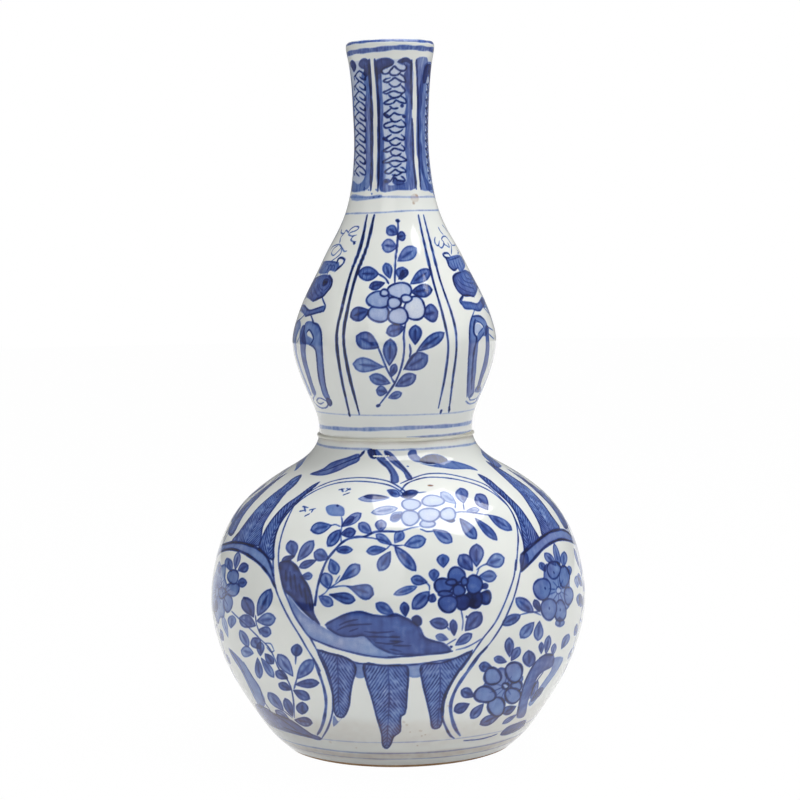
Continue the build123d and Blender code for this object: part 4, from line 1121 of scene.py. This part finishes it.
BRAID = (((770, 650), (820, 600), (850, 568), (900, 610), (960, 640), (1022, 632), (1045, 580),
    (1000, 525)), ((830, 532), (760, 572), (690, 592), (652, 645), (690, 690), (745, 682), (790, 650)),
    ((768, 655), (800, 702), (860, 712), (920, 692), (955, 655)),
    ((940, 690), (1000, 730), (1030, 815), (980, 812), (920, 782), (860, 750), (800, 790), (740, 820),
     (680, 802), (720, 770), (792, 748)), ((768, 840), (810, 880), (860, 892), (920, 872), (955, 832)),
    ((800, 918), (740, 950), (680, 978), (725, 1002), (790, 972), (850, 958), (920, 980), (985, 990),
     (1022, 948), (980, 890), (940, 850)),
    ((758, 1010), (800, 1050), (860, 1062), (930, 1042), (985, 990)),
    ((870, 1070), (800, 1082), (740, 1110), (688, 1150), (760, 1166), (840, 1140), (880, 1102),
     (940, 1130), (1035, 1145), (1030, 1092), (980, 1050), (935, 1028)),
    ((780, 1195), (830, 1232), (912, 1225)), ((800, 1232), (740, 1280), (690, 1322), (750, 1372),
    (800, 1340), (850, 1300), (900, 1322), (975, 1330)),
    ((790, 1390), (830, 1432), (880, 1440), (955, 1408)), ((835, 1432), (760, 1450), (688, 1492),
    (710, 1532), (800, 1522), (860, 1500), (930, 1522), (1022, 1512), (1022, 1470), (955, 1400)),
    ((768, 1558), (820, 1602), (880, 1612), (940, 1592), (985, 1558)),
    ((805, 1640), (740, 1680), (688, 1712), (760, 1742), (820, 1720), (880, 1690), (940, 1716),
     (1005, 1722), (1012, 1690), (960, 1640)), ((778, 1760), (820, 1800), (880, 1808), (955, 1768)),
    ((805, 1820), (730, 1860), (680, 1892), (740, 1912), (800, 1890), (850, 1855), (920, 1872),
     (1005, 1892), (1012, 1850), (965, 1800)),
    ((790, 1900), (810, 1950), (860, 1972), (920, 1962), (965, 1930)),
    ((822, 1980), (750, 2020), (668, 2072), (740, 2082), (820, 2052), (880, 2048), (960, 2062),
     (1045, 2040), (990, 2000), (920, 1968)), ((770, 2080), (820, 2132), (880, 2142), (965, 2090)),
    ((805, 2150), (740, 2190), (700, 2232), (770, 2252), (830, 2212), (870, 2190), (930, 2222),
     (1035, 2222), (1000, 2170), (945, 2150)), ((818, 2270), (870, 2282), (930, 2262), (985, 2220)),
    ((862, 2262), (820, 2330), (778, 2385)),
    ((828, 2382), (860, 2320), (900, 2352), (1022, 2362), (1000, 2320), (955, 2290)))
stems(NECK_VIEW, BRAID, 0.66, 0.92, NECK_TURNS)
dots(NECK_VIEW, ((700, 1320, 760, 1370), (998, 1350, 1015, 1362), (972, 1188, 982, 1194),
    (710, 2360, 750, 2380), (690, 1700, 740, 1725)), 1.4, 0.75, NECK_TURNS)
LOOP_TOPS = (640, 800, 960, 1120, 1285, 1450, 1620, 1790, 1960, 2130)
for top in LOOP_TOPS:
    stems(NECK_VIEW, (((300, top), (350, top + 32), (396, top + 92), (392, top + 140), (345, top + 128),
        (300, top + 92)),
        ((300, top), (258, top + 40), (240, top + 92), (268, top + 132), (300, top + 165)),
        ((250, top + 60), (215, top + 100), (232, top + 150))), 0.6, 0.85, ONCE)
dots(NECK_VIEW, [(388, top + 118, 396, top + 140) for top in LOOP_TOPS[:-1]], 1.1, 0.8, ONCE)
NECK_RIGHT = (71, 260)
NECK_FAR_LEFT = (-84, 260)
RIGHT_WINDOW = ((-1.8, -20), (2.6, -20.5), (2.4, 24.5), (-1.6, 25))
washes(NECK_RIGHT, (((-4.8, -22.5), (5.4, -22.5), (5.2, 29.5), (-4.4, 29.5)),), 0.33, 0.1, ONCE,
    streak=0.16)
lift(placed(NECK_RIGHT, RIGHT_WINDOW), 0.7)
washes(NECK_RIGHT, (RIGHT_WINDOW,), 0.12, 0, ONCE)
washes(NECK_RIGHT, (((-4.6, 22), (-3.6, 29), (0, 30), (4, 29), (5, 23), (3, 21.5), (0, 26), (-2.4, 22)),),
    0.6, 0.2, ONCE)
washes(NECK_FAR_LEFT, (((-1.4, -22), (0.6, -22), (1.2, 29), (-1.4, 29)),), 0.34, 0.1, ONCE)
for low in np.arange(-19, 21, 3.4):
    stems(NECK_RIGHT, (((-1.6, low), (0.4, low + 0.5), (1.6, low + 1.6), (0.2, low + 2.8),
        (-1.5, low + 3.2)),
        ((2.2, low + 0.6), (0.6, low + 1.2), (-0.8, low + 2.2), (0.8, low + 3.4), (2.4, low + 4))), 0.6,
        0.8, ONCE)
stems(NECK_VIEW, (((540, 460), (570, 700), (592, 1000), (606, 1300), (606, 1568), (606, 1900),
    (602, 2200), (592, 2525)),), 1.15, 0.92, NECK_TURNS)
stems(NECK_VIEW, (((455, 470), (462, 700), (482, 1000), (494, 1300), (497, 1568), (497, 1850),
    (494, 2200), (478, 2515)),), 1.4, 0.95, ONCE)
stems(NECK_VIEW, (((1125, 475), (1118, 700), (1122, 900), (1132, 1240)),
    ((1132, 1390), (1140, 1568), (1148, 1750), (1152, 2000), (1180, 2300), (1200, 2495))), 0.95, 0.9,
    NECK_TURNS)
stems(NECK_VIEW,
    (((1200, 475), (1212, 800), (1222, 1100), (1228, 1568), (1232, 1900), (1248, 2200), (1268, 2500)),),
    0.9, 0.8, ONCE)
washes(NECK_VIEW, (((180, 2580), (420, 2610), (650, 2585), (655, 2620), (500, 2650), (180, 2665)),), 0.22,
    0.05, (0, 150))
dots(NECK_VIEW, ((380, 2470, 395, 2490), (370, 2500, 380, 2512), (440, 2505, 455, 2512),
    (490, 2560, 500, 2575), (560, 2500, 575, 2515), (600, 2610, 625, 2600), (520, 2620, 540, 2625)), 0.5,
    0.5, ONCE)
dots(NECK_VIEW, ((1150, 2640, 1190, 2630),), 3.2, 0.28, ONCE, STAIN_AND_SHADE)
dots(NECK_VIEW, ((1195, 2590, 1215, 2600), (1150, 2700, 1160, 2720)), 1.0, 0.6, ONCE, STAIN_AND_SHADE)

# Pits and specks in the glaze near the foot, by pixel of the photograph
PHOTO = (0, 0, 1)
dots(PHOTO, ((403.6, 722, 404.4, 723), (406.6, 725, 407, 725.6), (420, 731, 421.4, 731.4),
    (448, 706, 449, 706), (330, 742, 331, 743)), 1.1, 0.3, ONCE, STAIN_AND_SHADE)
dots(PHOTO, ((410, 732.4, 410.4, 732.4), (421.8, 736.2, 422, 736.2), (425, 735, 425.4, 735),
    (417.2, 745.8, 417.5, 745.8), (443, 717, 443.5, 717), (356, 748, 356.5, 748)), 0.6, 0.6, ONCE, STAIN_AND_SHADE)


# Meshes that carry the sheet's tone
ROW_STEP = 0.34
BLOCK = 4
BACK_BLOCK = 8
TONE_CHANGE = 0.045
NARROW = 0.25
BACK_STEP = 4
TANGENT_STEP = 0.2
GLAZE_DROP = 0.08
GLAZE_SWAY = 0.05
MOST_DRIFT = 1.5


def on_sheet(layer, turns, lengths):
    """The tone of a layer at rows of lengths and columns of turns."""
    across = (turns + math.pi) / TURN * SHEET_COLUMNS - 0.5
    left = np.floor(across).astype(int)
    right_share = (across - left)[None, :]
    up = np.clip(lengths / SHEET_STEP - 0.5, 0, SHEET_ROWS - 1.001)
    low = np.floor(up).astype(int)
    up_share = (up - low)[:, None]
    a, b = left % SHEET_COLUMNS, (left + 1) % SHEET_COLUMNS
    bottom = layer[np.ix_(low, a)] * (1 - right_share) + layer[np.ix_(low, b)] * right_share
    above = layer[np.ix_(low + 1, a)] * (1 - right_share) + layer[np.ix_(low + 1, b)] * right_share
    tone = bottom * (1 - up_share) + above * up_share
    tone[lengths > SHEET_END] = 0
    return tone


def tangents(lengths):
    """The outline's way at lengths along it, as its radial and upward parts."""
    dr = radius_at(lengths + TANGENT_STEP) - radius_at(lengths - TANGENT_STEP)
    dz = height_at(lengths + TANGENT_STEP) - height_at(lengths - TANGENT_STEP)
    size = np.hypot(dr, dz)
    return dr / size, dz / size


def used_between(used, i0, i1, j0, j1, columns):
    """The lattice points in use along the edge of a block, counterclockwise from its first corner."""
    edge = [(i0, j) for j in range(j0, j1)]
    edge += [(i, j1) for i in range(i0, i1)]
    edge += [(i1, j) for j in range(j1, j0, -1)]
    edge += [(i, j0) for i in range(i1, i0, -1)]
    return [(i, j % columns) for i, j in edge if used[i, j % columns]]


def changing_blocks(layers, row_count):
    """The blocks of the lattice whose tone changes within them."""
    change = 0
    for layer in layers:
        parts = [np.roll(layer, -dj, axis=1)[di:di + row_count:BLOCK, ::BLOCK]
                 for di in range(BLOCK + 1) for dj in range(BLOCK + 1)]
        change = np.maximum(change, np.max(parts, axis=0) - np.min(parts, axis=0))
    return change > TONE_CHANGE


def cut_boxes(fine, narrow):
    """First and last rows and columns of the faces: small in fine blocks, the whole block elsewhere."""
    boxes = []
    for chosen, width, height in ((fine & ~narrow, 1, 1), (fine & narrow, 2, 1), (~fine, BLOCK, BLOCK)):
        block_row, block_column = np.nonzero(chosen)
        for di in range(0, BLOCK, height):
            for dj in range(0, BLOCK, width):
                i0, j0 = block_row * BLOCK + di, block_column * BLOCK + dj
                boxes.append(np.stack([i0, i0 + height, j0, j0 + width], axis=-1))
    return np.vstack(boxes)


def with_more_corners(boxes, used, row_count, columns):
    """Which boxes have a smaller neighbour's corner along an edge."""
    extra = np.zeros(len(boxes), dtype=bool)
    i0, i1, j0, j1 = boxes.T
    left, right = j0 % columns, j1 % columns
    for size in (2, BLOCK):
        wide = j1 - j0 == size
        for step in range(1, size):
            column = (j0 + step) % columns
            extra |= wide & (used[i0, column] | used[i1, column])
    whole = (j1 - j0 == BLOCK) & (i1 - i0 == BLOCK)
    for step in range(1, BLOCK):
        row = np.minimum(i0 + step, row_count)
        extra |= whole & (used[row, left] | used[row, right])
    return extra


def outer_side(lengths, turns):
    """Places and normals of the side that shows, which sways a little inside the solid's."""
    sheet_s = np.clip(lengths / SHEET_STEP, 0, SHEET_ROWS - 1).astype(int)
    sheet_c = ((turns + math.pi) / TURN * SHEET_COLUMNS).astype(int) % SHEET_COLUMNS
    drift = np.clip(DRIFT[np.ix_(sheet_s, sheet_c)], -MOST_DRIFT, MOST_DRIFT)
    sway = GLAZE_DROP + GLAZE_SWAY * drift
    rise_r, rise_z = tangents(lengths)
    radius = radius_at(lengths)[:, None] - sway * rise_z[:, None]
    height = height_at(lengths)[:, None] - sway * -rise_r[:, None]
    place = round_axis(radius, height, turns) * MM
    along = np.gradient(place, axis=0)
    around = np.roll(place, -1, axis=1) - np.roll(place, 1, axis=1)
    normal = np.cross(around, along)
    return place, normal / np.linalg.norm(normal, axis=2, keepdims=True)


def hidden_side(start, end, turns):
    """Places and normals of the side against the wall."""
    lengths = np.linspace(start, end, max(2, int((end - start) / BACK_STEP)) + 1)
    rise_r, rise_z = tangents(lengths)
    radius, height = radius_at(lengths) - COAT * rise_z, height_at(lengths) + COAT * rise_r
    place = round_axis(radius[:, None], height[:, None], turns) * MM
    return place, -round_axis(rise_z[:, None], -rise_r[:, None], turns)


def smooth_mesh(name, points, normals, quads, loops, tones):
    """A smooth mesh of quads and longer loops, with its own normals and a tone at each point."""
    mesh = bpy.data.meshes.new(name)
    sizes = np.concatenate([np.full(len(quads), 4), [len(loop) for loop in loops]]).astype(np.int32)
    corners = np.concatenate([quads.ravel(), [corner for loop in loops for corner in loop]])
    mesh.vertices.add(len(points))
    mesh.vertices.foreach_set("co", points.ravel().astype(np.float32))
    mesh.loops.add(len(corners))
    mesh.loops.foreach_set("vertex_index", corners.astype(np.int32))
    mesh.polygons.add(len(sizes))
    starts = np.concatenate([[0], np.cumsum(sizes)[:-1]])
    mesh.polygons.foreach_set("loop_start", starts.astype(np.int32))
    mesh.update(calc_edges=True)
    mesh.polygons.foreach_set("use_smooth", np.ones(len(sizes), dtype=bool))
    for label, tone in tones.items():
        mesh.attributes.new(label, "FLOAT", "POINT").data.foreach_set("value", tone.astype(np.float32))
    mesh.normals_split_custom_set_from_vertices(normals.tolist())
    return mesh


def painted_shell(name, node, start, end, columns):
    """A closed glaze skin between two lengths of the outline, fine where it is painted."""
    row_count = BLOCK * max(1, round((end - start) / ROW_STEP / BLOCK))
    lengths = np.linspace(start, end, row_count + 1)
    turns = np.arange(columns) / columns * TURN - math.pi
    place, normal = outer_side(lengths, turns)
    cobalt = on_sheet(COBALT, turns, lengths)
    stain_and_shade = on_sheet(STAIN_AND_SHADE, turns, lengths)

    fine = changing_blocks((cobalt, stain_and_shade), row_count)
    column_mm = TURN * radius_at(lengths[:-1:BLOCK]) / columns
    boxes = cut_boxes(fine, (column_mm < NARROW)[:, None])
    used = np.zeros((row_count + 1, columns), dtype=bool)
    for rows, cols in ((0, 2), (0, 3), (1, 2), (1, 3)):
        used[boxes[:, rows], boxes[:, cols] % columns] = True
    number = np.cumsum(used).reshape(used.shape) - 1
    extra = with_more_corners(boxes, used, row_count, columns)
    i0, i1, j0, j1 = boxes[~extra].T
    left, right = j0 % columns, j1 % columns
    quads = np.stack([number[i0, left], number[i0, right], number[i1, right], number[i1, left]], axis=-1)
    loops = [number[tuple(zip(*used_between(used, *box, columns)))].tolist()
             for box in boxes[extra].tolist()]

    # The hidden side, and the rims that close the skin
    back, back_normal = hidden_side(start, end, turns[::BACK_BLOCK])
    back_number = int(used.sum()) + np.arange(back[..., 0].size).reshape(back.shape[:2])
    after = np.roll(back_number, -1, axis=1)
    back_quads = np.stack([back_number[:-1], back_number[1:], after[1:], after[:-1]], axis=-1)
    for k in range(back.shape[1]):
        span = [(k * BACK_BLOCK + step) % columns for step in range(BACK_BLOCK + 1)]
        low = [int(number[0, j]) for j in span if used[0, j]]
        top = [int(number[row_count, j]) for j in span if used[row_count, j]]
        loops.append(low[::-1] + [int(back_number[0, k]), int(after[0, k])])
        loops.append(top + [int(after[-1, k]), int(back_number[-1, k])])

    plain = np.zeros(back[..., 0].size)
    mesh = smooth_mesh(name, np.vstack([place[used], back.reshape(-1, 3)]),
                       np.vstack([normal[used], back_normal.reshape(-1, 3)]),
                       np.vstack([quads, back_quads.reshape(-1, 4)]), loops,
                       {"cobalt": np.concatenate([cobalt[used], plain]),
                        "stain_and_shade": np.concatenate([stain_and_shade[used], plain])})
    piece = bpy.data.objects.new(name, mesh)
    bpy.context.scene.collection.objects.link(piece)
    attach(piece, "root")
    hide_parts(node)
    mesh.validate()
    return piece


# Materials: colours as a screen shows them, with their places on the ramps
WHITES = ((0.3, (214, 217, 213)), (0.7, (222, 224, 219)))
BLUES = ((0.0, (216, 219, 218)), (0.12, (168, 182, 208)), (0.3, (108, 134, 184)), (0.5, (60, 87, 154)),
         (0.74, (32, 50, 112)), (1.0, (20, 26, 62)))
VIOLETS = ((0.0, (226, 229, 228)), (0.12, (172, 178, 204)), (0.3, (106, 113, 164)), (0.5, (62, 70, 130)),
           (0.74, (42, 48, 102)), (1.0, (24, 26, 58)))
VIOLET_SHARE = ((0.45, (0, 0, 0)), (0.7, (200, 200, 200)))
STAIN_AND_SHADE_COLOUR = (150, 112, 72)
GLAZE_IOR = 1.5
BUMP_DEPTH = 0.0002
GRAIN = 0.1


def srgb(red, green, blue):
    """A colour as a screen shows it, made linear."""
    return tuple((v / 12.92 if v <= 0.04045 else ((v + 0.055) / 1.055) ** 2.4)
                 for v in (red / 255, green / 255, blue / 255)) + (1.0,)


class Nodes:
    """A material's node tree, with short ways to add and link nodes."""

    def __init__(self, name):
        self.material = bpy.data.materials.new(name)
        self.material.use_nodes = True
        self.tree = self.material.node_tree
        self.tree.nodes.clear()
        self.output = self.add("ShaderNodeOutputMaterial")
        self.shader = self.add("ShaderNodeBsdfPrincipled")
        self.link(self.shader, "BSDF", self.output, "Surface")

    def add(self, kind, **values):
        node = self.tree.nodes.new(kind)
        for key, value in values.items():
            setattr(node, key, value)
        return node

    def link(self, source, out, target, into):
        self.tree.links.new(source.outputs[out], target.inputs[into])

    def noise(self, scale, detail):
        node = self.add("ShaderNodeTexNoise")
        node.inputs["Scale"].default_value = scale
        node.inputs["Detail"].default_value = detail
        self.link(self.add("ShaderNodeTexCoord"), "Object", node, "Vector")
        return node

    def ramp(self, source, out, stops):
        node = self.add("ShaderNodeValToRGB")
        elements = node.color_ramp.elements
        while len(elements) < len(stops):
            elements.new(0.5)
        for element, (place, colour) in zip(elements, stops):
            element.position = place
            element.color = srgb(*colour)
        self.link(source, out, node, "Fac")
        return node

    def math(self, operation, first, second):
        node = self.add("ShaderNodeMath", operation=operation)
        for k, value in enumerate((first, second)):
            if isinstance(value, (int, float)):
                node.inputs[k].default_value = value
            else:
                self.tree.links.new(value[0].outputs[value[1]], node.inputs[k])
        return node

    def mix(self, share, first, second):
        node = self.add("ShaderNodeMix", data_type="RGBA")
        for socket, value in zip((node.inputs[0], node.inputs[6], node.inputs[7]), (share, first, second)):
            if isinstance(value, tuple) and isinstance(value[0], bpy.types.Node):
                self.tree.links.new(value[0].outputs[value[1]], socket)
            else:
                socket.default_value = value
        return (node, 2)

    def bump(self, source, out, strength, distance):
        node = self.add("ShaderNodeBump")
        node.inputs["Strength"].default_value = strength
        node.inputs["Distance"].default_value = distance
        self.link(source, out, node, "Height")
        self.link(node, "Normal", self.shader, "Normal")
        return node

    def colour(self, pair):
        self.tree.links.new(pair[0].outputs[pair[1]], self.shader.inputs["Base Color"])


def painted_glaze():
    """Glossy faintly blue white glaze over cobalt, which goes from pale blue to near black."""
    n = Nodes("painted_glaze")
    cobalt = n.add("ShaderNodeAttribute", attribute_name="cobalt")
    stain_and_shade = n.add("ShaderNodeAttribute", attribute_name="stain_and_shade")
    shifted = n.math("MULTIPLY_ADD", (n.noise(2600, 2), "Fac"), GRAIN)
    n.link(cobalt, "Fac", shifted, 2)
    tone = n.math("SUBTRACT", (shifted, 0), GRAIN / 2)
    white = n.ramp(n.noise(28, 4), "Fac", WHITES)
    blue = n.ramp(tone, 0, BLUES)
    violet = n.ramp(tone, 0, VIOLETS)
    hue = n.ramp(n.noise(60, 2), "Fac", VIOLET_SHARE)
    cobalt_colour = n.mix((hue, "Color"), (blue, "Color"), (violet, "Color"))
    is_painted = n.math("MULTIPLY", (cobalt, "Fac"), 14)
    is_painted.use_clamp = True
    painted = n.mix((is_painted, 0), (white, "Color"), cobalt_colour)
    # Brown over the glaze: the real stains, and the painted shade that darkens the glaze towards the foot
    n.colour(n.mix((stain_and_shade, "Fac"), painted, srgb(*STAIN_AND_SHADE_COLOUR)))
    n.shader.inputs["Roughness"].default_value = 0.06
    n.shader.inputs["IOR"].default_value = GLAZE_IOR
    n.bump(n.noise(240, 2), "Fac", 0.12, BUMP_DEPTH)
    return n.material


def plain_material(name, light, dark, roughness, scale, bump=0.2):
    """A clouded surface between two colours."""
    n = Nodes(name)
    n.colour((n.ramp(n.noise(scale, 5), "Fac", ((0.35, dark), (0.65, light))), "Color"))
    n.shader.inputs["Roughness"].default_value = roughness
    n.shader.inputs["IOR"].default_value = GLAZE_IOR
    n.bump(n.noise(scale * 9, 3), "Fac", bump, BUMP_DEPTH)
    return n.material


def set_material(piece, material):
    """The piece's only material."""
    piece.data.materials.clear()
    piece.data.materials.append(material)


GLAZE = painted_glaze()
LOWER_END, UPPER_START = climb(LOWER[-1, 1]), climb(UPPER[0, 1])
SEAM = climb(NECK[0, 1])
for name, node, start, end, columns in (
        ("lower_bulb_painting", "lower_bulb_glaze", 0.0, LOWER_END, 1480),
        ("upper_bulb_painting", "upper_bulb_glaze", UPPER_START, SEAM, 800),
        ("neck_painting", "neck_glaze", SEAM, PATH_S[-1], 352)):
    set_material(painted_shell(name, node, start, end, columns), GLAZE)

PLAIN = {
    "porcelain_body": plain_material("porcelain_body", (228, 224, 212), (218, 212, 198), 0.75, 60),
    "luting_slip": plain_material("luting_slip", (214, 214, 205), (200, 197, 180), 0.3, 30),
    "bare_foot": plain_material("bare_foot", (196, 160, 118), (158, 116, 74), 0.8, 120, 0.5),
    "plain_glaze": plain_material("plain_glaze", (228, 230, 225), (216, 219, 216), 0.14, 40, 0.1)}
for subpart in frame["record"]["subparts"]:
    if subpart["material_slot"] in PLAIN:
        set_material(frame["nodes"][subpart["node"]], PLAIN[subpart["material_slot"]])


# Floor, backdrop and lights
def seen_as_white(n, share, mirrored=True):
    """Mixes white into how a surface looks and, where asked, into its reflection, but into no other light."""
    path = n.add("ShaderNodeLightPath")
    seen = n.math("MAXIMUM", (path, "Is Camera Ray"), (path, "Is Glossy Ray") if mirrored else 0)
    part = n.math("MULTIPLY", (seen, 0), share)
    glow = n.add("ShaderNodeEmission")
    glow.inputs["Color"].default_value = (1, 1, 1, 1)
    both = n.add("ShaderNodeMixShader")
    n.link(part, 0, both, 0)
    n.link(n.shader, "BSDF", both, 1)
    n.link(glow, "Emission", both, 2)
    n.link(both, 0, n.output, "Surface")


def make_floor():
    """A wide white floor, which keeps the vase's shadow."""
    bpy.ops.mesh.primitive_plane_add(size=12, location=(0, 0, 0))
    floor = bpy.context.active_object
    floor.name = "floor"
    n = Nodes("floor")
    cloud_node = n.noise(3, 2)
    n.colour((n.ramp(cloud_node, "Fac", ((0.3, (236, 236, 236)), (0.7, (240, 240, 240)))), "Color"))
    n.shader.inputs["Roughness"].default_value = 0.8
    n.shader.inputs["Specular IOR Level"].default_value = 0.1
    seen_as_white(n, 0.99)
    set_material(floor, n.material)


def make_backdrop():
    """A tall white screen that curves round behind the vase."""
    reach, height, steps = 3.2, 4.0, 24
    angles = [math.radians(-20 + 220 * k / steps) for k in range(steps + 1)]
    points = [(reach * math.cos(a), reach * math.sin(a), z) for a in angles for z in (-0.01, height)]
    faces = [(2 * k, 2 * k + 1, 2 * k + 3, 2 * k + 2) for k in range(steps)]
    mesh = bpy.data.meshes.new("backdrop")
    mesh.from_pydata(points, [], faces)
    screen = bpy.data.objects.new("backdrop", mesh)
    bpy.context.scene.collection.objects.link(screen)
    n = Nodes("backdrop")
    n.shader.inputs["Base Color"].default_value = srgb(205, 205, 207)
    n.shader.inputs["Roughness"].default_value = 0.9
    seen_as_white(n, 1.0, False)
    set_material(screen, n.material)


def make_world(around):
    """White to the camera, and a fill of the given strength to everything else."""
    world = bpy.data.worlds.new("world")
    bpy.context.scene.world = world
    world.use_nodes = True
    tree = world.node_tree
    tree.nodes.clear()
    output = tree.nodes.new("ShaderNodeOutputWorld")
    path = tree.nodes.new("ShaderNodeLightPath")
    both = tree.nodes.new("ShaderNodeMixShader")
    tree.links.new(path.outputs["Is Camera Ray"], both.inputs[0])
    for socket, strength in ((1, around), (2, 1.0)):
        light = tree.nodes.new("ShaderNodeBackground")
        light.inputs["Color"].default_value = (1, 1, 1, 1)
        light.inputs["Strength"].default_value = strength
        tree.links.new(light.outputs[0], both.inputs[socket])
    tree.links.new(both.outputs[0], output.inputs["Surface"])


def make_light(name, place, aim, size, power):
    """A rectangular lamp that faces a place."""
    data = bpy.data.lights.new(name, "AREA")
    data.shape = "RECTANGLE"
    data.size, data.size_y = size
    data.energy = power
    lamp = bpy.data.objects.new(name, data)
    bpy.context.scene.collection.objects.link(lamp)
    lamp.location = place
    lamp.rotation_euler = (lamp.location - Vector(aim)).to_track_quat("Z", "Y").to_euler()


MIDDLE = (0, 0, 0.15)
AROUND = 0.28
LAMPS = (("above", (0.32, -0.05, 1.35), (0.05, -0.05, 0), (1.04, 1.1), 20),
         ("front", (-0.5, -2.2, 1.2), MIDDLE, (1.4, 1.4), 9),
         ("left", (-1.8, -0.8, 0.9), MIDDLE, (1.2, 1.4), 4),
         ("right", (1.8, -0.6, 0.8), MIDDLE, (1.2, 1.4), 4))
make_floor()
make_backdrop()
make_world(AROUND)
for lamp in LAMPS:
    make_light(*lamp)
